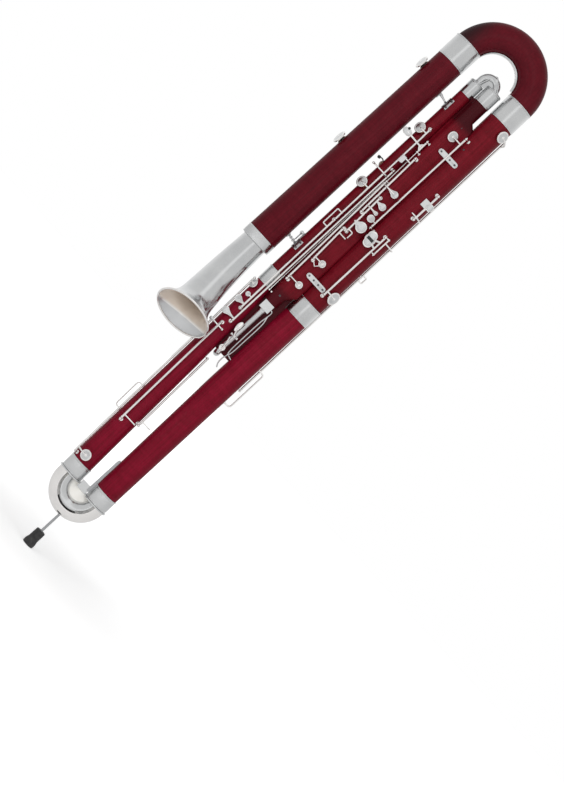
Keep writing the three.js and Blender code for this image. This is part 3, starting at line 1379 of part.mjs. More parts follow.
const railNodes = {
  long_front_rod: [rails.longFront],
  long_second_rod: [rails.longSecond],
  wing_outer_rod: [rails.wingOuter],
  wing_second_rod: [rails.wingSecond],
  wing_pair_rods: [rails.wingLowPair, rails.wingHighPair],
  large_inner_rod: [rails.largeInner],
  large_front_rod: [rails.largeFront],
  large_block_rod: [rails.largeBlock],
  large_edge_rod: [rails.largeEdge],
  long_edge_rod: [rails.longEdge],
  long_low_front_rod: [rails.longLowFront],
  long_inner_rod: [rails.longInner],
};
for (const [name, list] of Object.entries(railNodes)) {
  const solids = list.map(railSolid);
  for (let i = 1; i < list.length; i++) {
    solids.push(rod(railEnds(list[i - 1])[1], railEnds(list[i])[0], postRadius, rodSides));
  }
  add(name, joined(solids), 'silver');
}

add('long_front_key', longFrontKey(), 'silver');
add('long_second_key', longSecondKey(), 'silver');
add('first_finger_key', firstFingerKey(), 'silver');
add('crossing_lever', crossingLever(), 'silver');
add('second_finger_key', secondFingerKey(), 'silver');
add('low_pair_key', lowPairKey(), 'silver');
add('high_pair_key', highPairKey(), 'silver');
add('large_inner_key', largeInnerKey(), 'silver');
add('large_front_key', largeFrontKey(), 'silver');
add('large_block_key', largeBlockKey(), 'silver');
add('large_edge_key', largeEdgeKey(), 'silver');
add('long_edge_key', longEdgeKey(), 'silver');
add('long_low_front_key', longLowFrontKey(), 'silver');
add('long_inner_key', longInnerKey(), 'silver');
add('bell_side_key', bellSideKey(), 'silver');
add('thumb_key', thumbKey(), 'silver');

export default contrabassoon;
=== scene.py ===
"""A contrabassoon that stands on its end pin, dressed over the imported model."""

import math

import bmesh
import bpy
from mathutils import Matrix, Vector


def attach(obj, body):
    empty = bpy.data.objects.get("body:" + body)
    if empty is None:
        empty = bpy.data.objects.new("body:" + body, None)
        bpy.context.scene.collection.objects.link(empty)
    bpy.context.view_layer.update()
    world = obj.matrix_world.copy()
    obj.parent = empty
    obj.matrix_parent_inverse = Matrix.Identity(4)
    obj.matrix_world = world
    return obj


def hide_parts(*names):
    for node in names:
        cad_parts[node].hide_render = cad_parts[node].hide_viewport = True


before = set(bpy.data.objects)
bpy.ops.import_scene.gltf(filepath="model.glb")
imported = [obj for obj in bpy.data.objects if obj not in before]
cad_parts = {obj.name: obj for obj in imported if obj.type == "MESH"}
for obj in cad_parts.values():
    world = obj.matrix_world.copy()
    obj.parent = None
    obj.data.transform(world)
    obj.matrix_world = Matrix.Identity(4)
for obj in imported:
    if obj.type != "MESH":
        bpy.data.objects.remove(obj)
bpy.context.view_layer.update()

# Camera, floor and lamps
# The instrument stands upright. The camera is level, 4.4 m in front of the keys, and its picture
# is turned, so that the tubes run from the lower left to the upper right on white.
picture_turn = math.radians(42.6)
picture_right = Vector((math.sin(picture_turn), 0, math.cos(picture_turn)))
picture_up = Vector((-math.cos(picture_turn), 0, math.sin(picture_turn)))


def added(name, data):
    """An object with its data, put into the scene."""
    made = bpy.data.objects.new(name, data)
    bpy.context.scene.collection.objects.link(made)
    return made


view = bpy.data.cameras.new("camera")
view.sensor_fit = "VERTICAL"
view.sensor_height = 36
view.lens = 94.75
view.shift_x = 0.011
view.shift_y = -0.151
camera = added("camera", view)
camera.matrix_world = Matrix.Translation((-0.0593, -4.4, 0.753)) @ Matrix(
    (picture_right, picture_up, Vector((0, -1, 0)))).transposed().to_4x4()
bpy.context.scene.camera = camera
bpy.context.scene.view_settings.view_transform = "Standard"


def colour(written):
    """A colour written as sRGB hex, made linear."""
    parts = [int(written[i:i + 2], 16) / 255 for i in (1, 3, 5)]
    return [p / 12.92 if p <= 0.04045 else ((p + 0.055) / 1.055) ** 2.4 for p in parts] + [1]


def node(tree, kind, sockets=None, ramp=(), **settings):
    """Adds a node with its settings, its ramp of shades, and what its sockets hold or are linked to."""
    made = tree.nodes.new(kind)
    for name, value in settings.items():
        setattr(made, name, value)
    for i, (place, shade) in enumerate([*ramp[:1], *ramp[-1:], *ramp[1:-1]]):
        stops = made.color_ramp.elements
        stop = stops[i] if i < 2 else stops.new(place)
        stop.position, stop.color = place, colour(shade)
    for socket, value in (sockets or {}).items():
        if isinstance(value, bpy.types.NodeSocket):
            tree.links.new(value, made.inputs[socket])
        else:
            made.inputs[socket].default_value = value
    return made


def tree_of(owner):
    """The empty node tree of a material or a world."""
    owner.use_nodes = True
    owner.node_tree.nodes.clear()
    return owner.node_tree


def started(name):
    """A new material, its empty node tree, and the place on the object that its pattern follows."""
    made = bpy.data.materials.new(name)
    tree = tree_of(made)
    return made, tree, node(tree, "ShaderNodeTexCoord").outputs["Object"]


# The backdrop is white to the camera alone. Metal mirrors pale walls with a brighter stripe on the
# keys' side, and the soft light of the room is weaker from behind.
studio = bpy.data.worlds.new("studio")
bpy.context.scene.world = studio
tree = tree_of(studio)
path = node(tree, "ShaderNodeLightPath")
seen = node(tree, "ShaderNodeMath", {
    0: path.outputs["Is Camera Ray"], 1: path.outputs["Is Transmission Ray"]}, operation="MAXIMUM")
towards = node(tree, "ShaderNodeTexCoord").outputs["Generated"]
split = node(tree, "ShaderNodeSeparateXYZ", {0: towards})
walls = node(tree, "ShaderNodeMapRange", {"Value": split.outputs["Y"], "From Min": 0.0, "From Max": 0.8,
                                          "To Min": 0.8, "To Max": 1.0})
aside = node(tree, "ShaderNodeMath", {0: split.outputs["X"]}, operation="ABSOLUTE")
stripe = node(tree, "ShaderNodeMapRange", {"Value": aside.outputs[0], "From Min": 0.1, "From Max": 0.2,
                                           "To Min": 1.0, "To Max": 0.0}, interpolation_type="SMOOTHSTEP")
ahead = node(tree, "ShaderNodeMath", {0: split.outputs["Y"], 1: 0.0}, operation="LESS_THAN")
lamp_wall = node(tree, "ShaderNodeMath", {0: stripe.outputs[0], 1: ahead.outputs[0]}, operation="MULTIPLY")
room = node(tree, "ShaderNodeMath", {0: lamp_wall.outputs[0], 1: 0.3, 2: walls.outputs[0]},
            operation="MULTIPLY_ADD")
soft = node(tree, "ShaderNodeMapRange", {"Value": split.outputs["Y"], "From Min": -1.0, "From Max": 0.5,
                                         "To Min": 0.86, "To Max": 0.1})
unseen = node(tree, "ShaderNodeMix", {"Factor": path.outputs["Is Glossy Ray"], 2: soft.outputs[0],
                                      3: room.outputs[0]})
strength = node(tree, "ShaderNodeMix", {"Factor": seen.outputs[0], 2: unseen.outputs[0], 3: 1.0})
sky = node(tree, "ShaderNodeBackground", {"Color": (1, 1, 1, 1), "Strength": strength.outputs[0]})
node(tree, "ShaderNodeOutputWorld", {"Surface": sky.outputs[0]})

# The floor is a roll of white paper. It takes the shadow of the foot and melts into the backdrop.
pale_floor, tree, place = started("white_paper_floor")
path = node(tree, "ShaderNodeLightPath")
away = node(tree, "ShaderNodeVectorMath", {0: place}, operation="LENGTH")
melt = node(tree, "ShaderNodeMapRange", {"Value": away.outputs["Value"], "From Min": 0.1, "From Max": 1.2,
                                         "To Min": 0.5, "To Max": 1.0})
mirrored = node(tree, "ShaderNodeMath", {0: path.outputs["Is Glossy Ray"], 1: 0.35}, operation="MULTIPLY")
strength = node(tree, "ShaderNodeMix", {"Factor": path.outputs["Is Camera Ray"], 2: mirrored.outputs[0],
                                        3: melt.outputs[0]})
tooth = node(tree, "ShaderNodeTexNoise", {"Vector": place, "Scale": 300.0, "Detail": 2.0})
paper = node(tree, "ShaderNodeMapRange", {"Value": tooth.outputs["Fac"], "To Min": 0.8, "To Max": 0.84})
lit = node(tree, "ShaderNodeBsdfDiffuse", {"Color": paper.outputs[0]})
glow = node(tree, "ShaderNodeEmission", {"Color": (1, 1, 1, 1), "Strength": strength.outputs[0]})
total = node(tree, "ShaderNodeAddShader", {0: lit.outputs[0], 1: glow.outputs[0]})
node(tree, "ShaderNodeOutputMaterial", {"Surface": total.outputs[0]})
mesh = bpy.data.meshes.new("floor")
mesh.from_pydata([(-8, -8, 0), (8, -8, 0), (8, 8, 0), (-8, 8, 0)], [], [(0, 1, 2, 3)])
mesh.materials.append(pale_floor)
floor = added("floor", mesh)


def softbox(name, place, width, height, power):
    """An oblong lamp that faces the middle of the instrument."""
    lamp = bpy.data.lights.new(name, "AREA")
    lamp.shape = "RECTANGLE"
    lamp.size, lamp.size_y, lamp.energy = width, height, power
    made = added(name, lamp)
    made.visible_glossy = False
    way = Vector((-0.06, 0, 0.75)) - Vector(place)
    made.matrix_world = Matrix.Translation(place) @ way.to_track_quat("-Z", "Y").to_matrix().to_4x4()


softbox("key_softbox", (-1.9, -3.2, 1.9), 1.4, 2.2, 34)
softbox("fill_softbox", (2.3, -3.0, 1.3), 1.4, 2.2, 20)
softbox("front_softbox", (0.1, -4.9, 1.8), 1.2, 1.8, 26)


# Rubber tip and end pin
# The tip is a moulded rubber ferrule with a flared foot, pushed on the pin. The pin is a ground
# steel rod that slides in a socket on the boot, with turned rings where the screw bites.
origin, up, forward = Vector((0, 0, 0)), Vector((0, 0, 1)), Vector((0, -1, 0))


def square_to(way):
    """Two directions at right angles to a way and to each other."""
    first = Vector((1, 0, 0)) if abs(way.x) < 0.9 else Vector((0, 1, 0))
    first = (first - way * first.dot(way)).normalized()
    return first, way.cross(first)


def all_round(count):
    """Turns spread evenly round a circle."""
    return [2 * math.pi * i / count for i in range(count)]


def hoop(centre, way, radius, sides):
    """Places round a circle that faces along a way."""
    first, second = square_to(way)
    return [centre + radius * (first * math.cos(t) + second * math.sin(t)) for t in all_round(sides)]


def skinned(work, rings, loop=False):
    """Faces through rings of places. Open ends are closed with a face."""
    rows = [[work.verts.new(place) for place in ring] for ring in rings]
    count = len(rows[0])
    pairs = list(zip(rows, rows[1:])) + ([(rows[-1], rows[0])] if loop else [])
    faces = [work.faces.new((low[i], low[(i + 1) % count], high[(i + 1) % count], high[i]))
             for low, high in pairs for i in range(count)]
    if not loop:
        faces += [work.faces.new(rows[0][::-1]), work.faces.new(rows[-1])]
    return faces


def eased(outline, ease, closed=False, steps=3):
    """Rounds the corners of an outline, as a file or a polishing wheel does."""
    places = [Vector(corner) for corner in outline]
    kept = []
    for i, here in enumerate(places):
        if not closed and i in (0, len(places) - 1):
            kept.append(here)
            continue
        back, ahead = places[i - 1] - here, places[(i + 1) % len(places)] - here
        if back.angle(ahead, 0) > math.pi - 0.1:
            kept.append(here)
            continue
        cut = min(ease, 0.45 * back.length, 0.45 * ahead.length)
        start, end = here + back.normalized() * cut, here + ahead.normalized() * cut
        for k in range(steps + 1):
            t = k / steps
            kept.append(start * (1 - t) ** 2 + here * (2 * t * (1 - t)) + end * t ** 2)
    return kept


def turned(work, profile, foot, way, sides=48, ease=0.4, closed=False):
    """A shape turned on a lathe: [radius, height] pairs about an axis from a foot."""
    foot, way = Vector(foot), Vector(way).normalized()
    rings = [hoop(foot + way * height, way, radius, sides)
             for radius, height in eased(profile, ease, closed) if radius > 1e-4]
    return skinned(work, rings, closed)


def finished(work, name, material, body, nodes=(), sharp=38):
    """A piece from what has been shaped in millimetres, in metres and at the origin."""
    bmesh.ops.recalc_face_normals(work, faces=work.faces)
    bmesh.ops.scale(work, vec=(0.001, 0.001, 0.001), verts=work.verts)
    mesh = bpy.data.meshes.new(name)
    work.to_mesh(mesh)
    work.free()
    mesh.shade_smooth()
    mesh.set_sharp_from_angle(angle=math.radians(sharp))
    mesh.materials.append(material)
    piece = added(name, mesh)
    if nodes:
        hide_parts(*nodes)
    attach(piece, body)
    return piece


def dressed(work, name, material, body, sharp=38):
    """A finished piece that takes the place of the model's node of that name."""
    return finished(work, name + "_dressed", material, body, [name], sharp)


# Moulded rubber: dull, with the fine tooth of its mould and dust in it
moulded_rubber, tree, place = started("moulded_rubber")
tooth = node(tree, "ShaderNodeTexNoise", {"Vector": place, "Scale": 900.0, "Detail": 3.0})
dust = node(tree, "ShaderNodeTexNoise", {"Vector": place, "Scale": 120.0, "Detail": 4.0})
shades = node(tree, "ShaderNodeValToRGB", {"Fac": dust.outputs["Fac"]},
              [(0.4, "#232323"), (0.75, "#3A3938")])
relief = node(tree, "ShaderNodeBump", {"Height": tooth.outputs["Fac"], "Strength": 0.35,
                                       "Distance": 0.0002})
surface = node(tree, "ShaderNodeBsdfPrincipled", {
    "Base Color": shades.outputs["Color"], "Roughness": 0.62, "IOR": 1.5,
    "Normal": relief.outputs[0]})
node(tree, "ShaderNodeOutputMaterial", {"Surface": surface.outputs[0]})

# Ground and nickelled steel: darker than silver, with fine rings round it
ground_steel, tree, place = started("ground_steel")
along = node(tree, "ShaderNodeMapping", {"Vector": place, "Scale": (40, 40, 1600)})
rings = node(tree, "ShaderNodeTexNoise", {"Vector": along.outputs[0], "Scale": 1.0, "Detail": 3.0})
shades = node(tree, "ShaderNodeValToRGB", {"Fac": rings.outputs["Fac"]},
              [(0, "#9A9B9D"), (1, "#BCBDBF")])
rough = node(tree, "ShaderNodeMapRange", {"Value": rings.outputs["Fac"], "To Min": 0.22, "To Max": 0.4})
surface = node(tree, "ShaderNodeBsdfPrincipled", {
    "Base Color": shades.outputs["Color"], "Metallic": 1.0, "Roughness": rough.outputs[0]})
node(tree, "ShaderNodeOutputMaterial", {"Surface": surface.outputs[0]})

work = bmesh.new()
turned(work, [(10.6, 0), (13.1, 0.2), (13.5, 4), (13.5, 10), (12.6, 13), (11.5, 17), (11.3, 39),
              (10.2, 40.6), (3.3, 40.6), (3.3, 12.3), (2.4, 12.3), (2.4, 2.4), (10.6, 2.4)],
       origin, up, 64, 1.2, closed=True)
for rise in (20, 24, 28, 32):
    turned(work, [(10.8, rise - 1), (11.75, rise - 0.6), (11.75, rise + 0.6), (10.8, rise + 1)],
           origin, up, 64, 0.5)
dressed(work, "rubber_tip", moulded_rubber, "pin")

work = bmesh.new()
pin = [(3, 12.6), (3, 42)]
for rise in range(52, 90, 9):
    pin += [(3, rise - 0.8), (2.7, rise - 0.5), (2.7, rise + 0.5), (3, rise + 0.8)]
turned(work, pin + [(3, 136), (1.6, 137.6)], origin, up, 32, 0.3)
dressed(work, "end_pin", ground_steel, "pin")

# Boot bow and its guard
# The boot joins the two long tubes with a drawn silver-plated U tube, soldered into two round
# flanges with a web between them. A bright half shell guards it and carries the pin's socket.
plane, bell_x = -20.6, -141.8
boot_height, split_height, bow_height = 161.6, 775.8, 1374.0
boot_middle = Vector((-6.8, plane, boot_height))


def drawn(work, way, radius, sides=16, bore=None, loop=False):
    """A wire or tube along a way of places. Solid ends are rounded; radius may change along it."""
    count = len(way)
    reach = radius if isinstance(radius, (list, tuple)) else [radius] * count
    lean = [(way[(i + 1) % count if loop else min(i + 1, count - 1)]
             - way[i - 1 if loop else max(i - 1, 0)]).normalized() for i in range(count)]
    first = square_to(lean[0])[0]
    rims, inner = [], []
    for i in range(count):
        if i:
            first = lean[i - 1].rotation_difference(lean[i]) @ first
        first = (first - lean[i] * first.dot(lean[i])).normalized()
        second = lean[i].cross(first)
        spokes = [first * math.cos(t) + second * math.sin(t) for t in all_round(sides)]
        rims.append([way[i] + spoke * reach[i] for spoke in spokes])
        if bore:
            inner.append([way[i] + spoke * (reach[i] - bore) for spoke in spokes])
    if bore:
        return skinned(work, rims + inner[::-1], True)
    if not loop:
        for end, out, row in ((0, -lean[0], rims[0]), (count - 1, lean[-1], rims[-1])):
            caps = []
            for share in (0.45, 0.8, 0.97):
                caps.append([way[end] + (place - way[end]) * math.sqrt(1 - share ** 2)
                             + out * reach[end] * share for place in row])
            rims = caps[::-1] + rims if end == 0 else rims + caps
    return skinned(work, rims, loop)


def half_circle(middle, bend, rise, low_leg, high_leg, steps=40):
    """Places along a U with straight legs, from its left end. Rise is 1 for a bow and -1 for a boot."""
    middle = Vector(middle)
    way = [middle + Vector((-bend, 0, -rise * low_leg))]
    for i in range(steps + 1):
        turn = math.pi * i / steps
        way.append(middle + Vector((-bend * math.cos(turn), 0, rise * bend * math.sin(turn))))
    return way + [middle + Vector((bend, 0, -rise * high_leg))]


# Silver plate on brass: bright and slightly warm where hands have rubbed it, with a soft haze
def plated_silver(name, dull, bright, polish):
    made, tree, place = started(name)
    haze = node(tree, "ShaderNodeTexNoise", {"Vector": place, "Scale": 28.0, "Detail": 5.0, "Roughness": 0.6})
    shades = node(tree, "ShaderNodeValToRGB", {"Fac": haze.outputs["Fac"]}, [(0.3, dull), (0.7, bright)])
    rough = node(tree, "ShaderNodeMapRange", {"Value": haze.outputs["Fac"], "From Min": 0.3, "From Max": 0.7,
                                              "To Min": polish, "To Max": polish + 0.1})
    swirl = node(tree, "ShaderNodeTexNoise", {"Vector": place, "Scale": 700.0, "Detail": 2.0})
    relief = node(tree, "ShaderNodeBump", {"Height": swirl.outputs["Fac"], "Strength": 0.04,
                                           "Distance": 0.0001})
    surface = node(tree, "ShaderNodeBsdfPrincipled", {
        "Base Color": shades.outputs["Color"], "Metallic": 1.0, "Roughness": rough.outputs[0],
        "Normal": relief.outputs[0]})
    node(tree, "ShaderNodeOutputMaterial", {"Surface": surface.outputs[0]})
    return made


silver_plate = plated_silver("buffed_silver_plate", "#C9CACB", "#D4D5D5", 0.16)
# A second copy of the silver, painted lighter: a painted highlight for keys, rods, wires, plates, the boot
# guard and the bell's rim
painted_bright_silver = plated_silver("silver_plate_painted_lighter", "#E8E6E4", "#F4F2F0", 0.1)

work = bmesh.new()
way = half_circle(boot_middle, 41, -1, 11.6, 3)
swollen = [14.6 + 2.6 * math.sin(math.pi * i / 40) ** 0.5 for i in range(41)]
drawn(work, way, [14.6] + swollen + [14.6], 40, bore=1.2)
for x, high, radius in ((-47.8, 173.2, 29.9), (34.2, 164.6, 30.9)):
    turned(work, [(13.6, high - 3), (radius, high - 3), (radius, high), (13.6, high)],
           (x, plane, 0), up, 72, 0.5, closed=True)
    turned(work, [(14.5, high - 7), (16.4, high - 6.2), (17.6, high - 3), (14.5, high - 3)],
           (x, plane, 0), up, 56, 0.6, closed=True)


def slab(work, corners, front, back, ease=0.4):
    """A plate whose outline is given across X and Z, between two places in Y, with eased edges."""
    outline = eased([Vector((x, z)) for x, z in corners], ease, True)
    centre = sum(outline, Vector((0, 0))) / len(outline)
    rings = []
    for inset, y in ((ease / 2, front), (0, front + ease / 2), (0, back - ease / 2), (ease / 2, back)):
        ring = []
        for place in outline:
            inward = (centre - place).normalized() * inset
            ring.append(Vector((place.x + inward.x, y, place.y + inward.y)))
        rings.append(ring)
    return skinned(work, rings)


def oblong(left, low, right, high):
    """The corners of an oblong plate."""
    return [(left, low), (right, low), (right, high), (left, high)]


slab(work, oblong(-19.9, boot_height, 5.2, 181.6), plane - 1.5, plane + 1.5, 0.8)
dressed(work, "boot_bow", silver_plate, "body")

work = bmesh.new()
guard_outer, guard_inner, guard_turn = 27, 25.4, math.radians(75)
section = []
for reach, side in ((guard_outer, 1), (guard_inner, -1)):
    for i in range(25):
        turn = side * guard_turn * (2 * i / 24 - 1)
        section.append(Vector((reach * math.cos(turn), reach * math.sin(turn))))
section = eased(section, 0.5, True, 2)
rings = []
for i in range(49):
    turn = math.pi + math.pi * i / 48
    out = Vector((math.cos(turn), 0, math.sin(turn)))
    rings.append([boot_middle + out * (41 + place.x) + Vector((0, place.y, 0)) for place in section])
rings.insert(0, [place + Vector((0, 0, 8.2)) for place in rings[0]])
skinned(work, rings)

# The shell is drilled for the pin
drill = bmesh.new()
turned(drill, [(3.4, 80), (3.4, 112)], origin, up, 40, 0.1)
pair = []
for made in (work, drill):
    bmesh.ops.recalc_face_normals(made, faces=made.faces)
    mesh = bpy.data.meshes.new("guard_shell")
    made.to_mesh(mesh)
    made.free()
    pair.append(added("guard_shell", mesh))
shell, cutter = pair
drilled = shell.modifiers.new("pin_hole", "BOOLEAN")
drilled.operation, drilled.object = "DIFFERENCE", cutter
bpy.context.view_layer.update()
cut = bpy.data.meshes.new_from_object(shell.evaluated_get(bpy.context.evaluated_depsgraph_get()))
work = bmesh.new()
work.from_mesh(cut)
for made in pair:
    bpy.data.objects.remove(made)

# A wire is soldered along each edge of the shell, with a bent flange at its left and right
for edge in (-1, 1):
    reach = 41 + (guard_outer - 0.9) * math.cos(guard_turn)
    depth = edge * (guard_outer - 0.9) * math.sin(guard_turn)
    drawn(work, half_circle(boot_middle + Vector((0, depth, 0)), reach, -1, 7, 0)[:-1], 1.1, 10)
for start, end in ((180, 236), (304, 360)):
    for edge in (-1, 1):
        rings = []
        for i in range(17):
            turn = math.radians(start + (end - start) * i / 16)
            out = Vector((math.cos(turn), 0, math.sin(turn)))
            rings.append([boot_middle + out * reach + Vector((0, edge * depth, 0))
                          for reach, depth in ((48.6, 24.6), (47.4, 25.6), (41.6, 17.8), (42.8, 16.6))])
        if start == 180:
            rings.insert(0, [place + Vector((0, 0, 8)) for place in rings[0]])
        skinned(work, rings)
screw_height = 138.6
turned(work, [(3.3, 107.1), (5.7, 107.1), (5.7, 140), (6.3, 141), (6.3, 145), (5.7, 145.6), (3.3, 145.6)],
       origin, up, 40, 0.4, closed=True)
turned(work, [(2.8, 4.6), (4.9, 4.6), (4.9, 8.1), (2.8, 8.1)], (0, 0, screw_height), -forward, 32, 0.4,
       closed=True)
# The guard takes the lighter silver, a painted highlight
dressed(work, "boot_guard", painted_bright_silver, "body")

# A sheet web closes the inside of the bow. Its plate is painted a matt near-white cream, a painted reflection
# of the bright room in the silver
web_silver, tree, place = started("silver_web_painted_bright")
haze = node(tree, "ShaderNodeTexNoise", {"Vector": place, "Scale": 40.0, "Detail": 4.0})
shades = node(tree, "ShaderNodeValToRGB", {"Fac": haze.outputs["Fac"]},
              [(0.3, "#FAF6EE"), (0.7, "#FFFEFA")])
surface = node(tree, "ShaderNodeBsdfPrincipled", {"Base Color": shades.outputs["Color"], "Roughness": 0.4})
node(tree, "ShaderNodeOutputMaterial", {"Surface": surface.outputs[0]})
work = bmesh.new()
arch_radius = 27
arch = [(boot_middle.x + arch_radius * math.cos(math.radians(t)),
         boot_height + arch_radius * math.sin(math.radians(t))) for t in range(180, 361, 6)]
slab(work, arch + [(-19.9, boot_height), (-19.9, 170.4), (-33.8, 170.4)], plane + 0.6, plane + 1.6, 0.2)
finished(work, "boot_web", web_silver, "body", ())

work = bmesh.new()
turned(work, [(2.4, 3.4), (2.4, 15), (3.4, 16), (3.4, 18), (2.4, 19.5)], (0, 0, screw_height), -forward,
       24, 0.3)
turned(work, [(3.2, -0.7), (5.4, -0.8), (6.6, -1.2), (7, -0.6), (7, 0.6), (6.6, 1.2), (5.4, 0.8), (3.2, 0.7)],
       (0, 25.3, screw_height), (1, 0, 0), 48, 0.3)
dressed(work, "end_pin_screw", silver_plate, "pin_screw")

# Large joint and long joint
# Two stacks of turned and bored maple, stained crimson and lacquered: the large joint on the
# right and the long joint on the left. Each has a lower and an upper piece, and silver-plated
# ferrules at its foot, middle and top.
# Each line holds the middle and the radius of a tube at its stations, from its foot up.
large = [(Vector((34.2, plane, boot_height)), 27.0), (Vector((31.3, plane, split_height)), 28.9),
         (Vector((22.6, plane, bow_height)), 31.0)]
long = [(Vector((-47.8, plane, 173.2)), 26.0), (Vector((-64.9, plane, 771.6)), 18.7),
        (Vector((-70.8, plane, 1339.4)), 15.0)]
wing = [(Vector((-26.9, -30.6, 715.6)), 17.3), (Vector((-34.2, -26.6, 1351.9)), 18.4)]
bell_line = [(Vector((bell_x, plane, 798.8)), 36.0), (Vector((bell_x, plane, bow_height)), 32.6)]


def leg_at(line, height):
    """The two stations of a line that a height is between, and how far it is between them."""
    (low, _), (high, _) = leg = line[1:] if len(line) > 2 and height > line[1][0].z else line[:2]
    return leg, (height - low.z) / (high.z - low.z)


def centre_at(line, height):
    """The middle of a tube at a height."""
    (low, high), share = leg_at(line, height)
    return low[0].lerp(high[0], share)


def radius_at(line, height):
    """The radius of a tube at a height."""
    (low, high), share = leg_at(line, height)
    return low[1] + (high[1] - low[1]) * share


def column(work, line, profile, sides=96, ease=0.4, closed=True):
    """A turned shape on a leaning tube's line, with level rings."""
    rings = [[place.copy() for place in hoop(centre_at(line, height), up, radius, sides)]
             for radius, height in eased(profile, ease, closed)]
    return skinned(work, rings, closed)


def ferrule(work, line, low, high):
    """A spun ferrule with a rim at its top and a turned line near each end."""
    radius = max(radius_at(line, low), radius_at(line, high)) + 1
    column(work, line, [
        (radius - 1.6, low), (radius - 0.3, low), (radius, low + 0.4), (radius, low + 2.2),
        (radius - 0.35, low + 2.5), (radius - 0.35, low + 3.1), (radius, low + 3.4),
        (radius, high - 4.2), (radius - 0.3, high - 3.8), (radius, high - 2.6),
        (radius + 0.9, high - 2.1), (radius + 0.9, high - 0.3), (radius + 0.4, high),
        (radius - 1.6, high)], 96, 0.25)


# Figured maple, stained crimson under clear lacquer: fine streaks and pores along the tube,
# a faint flame across it, and a wet-looking coat that mirrors the room
def lacquered_maple(name, deep, body_shade, light, darkened=(), along="Z"):
    made, tree, place = started(name)
    grain_way = node(tree, "ShaderNodeMapping", {"Vector": place, "Scale": (420, 420, 9)})
    grain = node(tree, "ShaderNodeTexNoise", {"Vector": grain_way.outputs[0], "Scale": 1.0,
                                              "Detail": 6.0, "Roughness": 0.65})
    flame_way = node(tree, "ShaderNodeMapping", {"Vector": place, "Scale": (30, 30, 95)})
    flame = node(tree, "ShaderNodeTexNoise", {"Vector": flame_way.outputs[0], "Scale": 1.0,
                                              "Detail": 2.0, "Distortion": 0.6})
    pore_way = node(tree, "ShaderNodeMapping", {"Vector": place, "Scale": (1500, 1500, 120)})
    pores = node(tree, "ShaderNodeTexNoise", {"Vector": pore_way.outputs[0], "Scale": 1.0, "Detail": 2.0})
    mixed = node(tree, "ShaderNodeMix", {"Factor": 0.3, 2: grain.outputs["Fac"],
                                         3: flame.outputs["Fac"]})
    shades = node(tree, "ShaderNodeValToRGB", {"Fac": mixed.outputs[0]},
                  [(0.34, deep), (0.5, body_shade), (0.68, light)])
    dots = node(tree, "ShaderNodeMapRange", {"Value": pores.outputs["Fac"], "From Min": 0.62,
                                             "From Max": 0.72, "To Min": 0.0, "To Max": 0.35})
    pored = node(tree, "ShaderNodeMix", {"Factor": dots.outputs[0], 6: shades.outputs["Color"],
                                         7: colour(deep)}, data_type="RGBA")
    stain_and_painted_shade = pored.outputs[2]
    rise = node(tree, "ShaderNodeSeparateXYZ", {0: place}).outputs[along]
    # Each band in darkened is painted shade: along one axis of the piece it blends the stained wood towards a
    # darker colour
    for start, end, shade in darkened:
        share = node(tree, "ShaderNodeMapRange", {"Value": rise, "From Min": start, "From Max": end},
                     interpolation_type="SMOOTHSTEP")
        stain_and_painted_shade = node(tree, "ShaderNodeMix", {"Factor": share.outputs[0], 6: stain_and_painted_shade, 7: colour(shade)},
                       data_type="RGBA").outputs[2]
    relief = node(tree, "ShaderNodeBump", {"Height": grain.outputs["Fac"], "Strength": 0.06,
                                           "Distance": 0.0002})
    surface = node(tree, "ShaderNodeBsdfPrincipled", {
        "Base Color": stain_and_painted_shade, "Roughness": 0.5, "IOR": 1.5, "Specular IOR Level": 0.06,
        "Coat Weight": 0.12, "Coat Roughness": 0.12, "Coat IOR": 1.5, "Normal": relief.outputs[0]})
    node(tree, "ShaderNodeOutputMaterial", {"Surface": surface.outputs[0]})
    return made


# The lower joints are a shade brighter than the upper ones
crimson_maple = lacquered_maple("crimson_lacquered_maple", "#66071A", "#780A23", "#880F2B")
garnet_maple = lacquered_maple("garnet_lacquered_maple", "#580813", "#690C1A", "#781221")

swollen_large = [large[0], (Vector((31.5, plane, 514.0)), 29.2), large[1]]
swollen_long = [long[0], (Vector((-56.8, plane, 514.0)), 22.5), long[1]]
for name, material, line, profile in (
        ("large_joint_lower", crimson_maple, swollen_large, [
            (13.4, 165.2), (26.0, 165.2), (26.0, 197.2), (27.15, 197.2), (29.2, 514.0), (28.77, 732.5),
            (28.0, 732.5), (28.0, 775.8), (23.2, 775.8), (23.2, 745.8), (18.2, 745.8)]),
        ("large_joint_upper", garnet_maple, large, [
            (18.2, 746.1), (22.6, 746.1), (22.6, 776.1), (28.9, 776.1), (30.8, 1318.7), (30.1, 1318.7),
            (30.1, 1362.9), (23, 1362.9)]),
        ("long_joint_lower", crimson_maple, swollen_long, [
            (13.4, 173.8), (24.9, 173.8), (24.9, 204.8), (25.62, 204.8), (22.5, 514.0), (19.18, 732.3),
            (18.0, 732.3), (18.0, 771.6), (15.7, 771.6), (15.7, 741.6), (10.7, 741.6)]),
        ("long_joint_upper", garnet_maple, long, [
            (10.7, 741.9), (15.1, 741.9), (15.1, 771.9), (18.7, 771.9), (15.23, 1304.1), (14.3, 1304.1),
            (14.3, 1332.3), (8, 1332.3)])):
    work = bmesh.new()
    column(work, line, profile, 96, 0.3)
    dressed(work, name, material, "body")

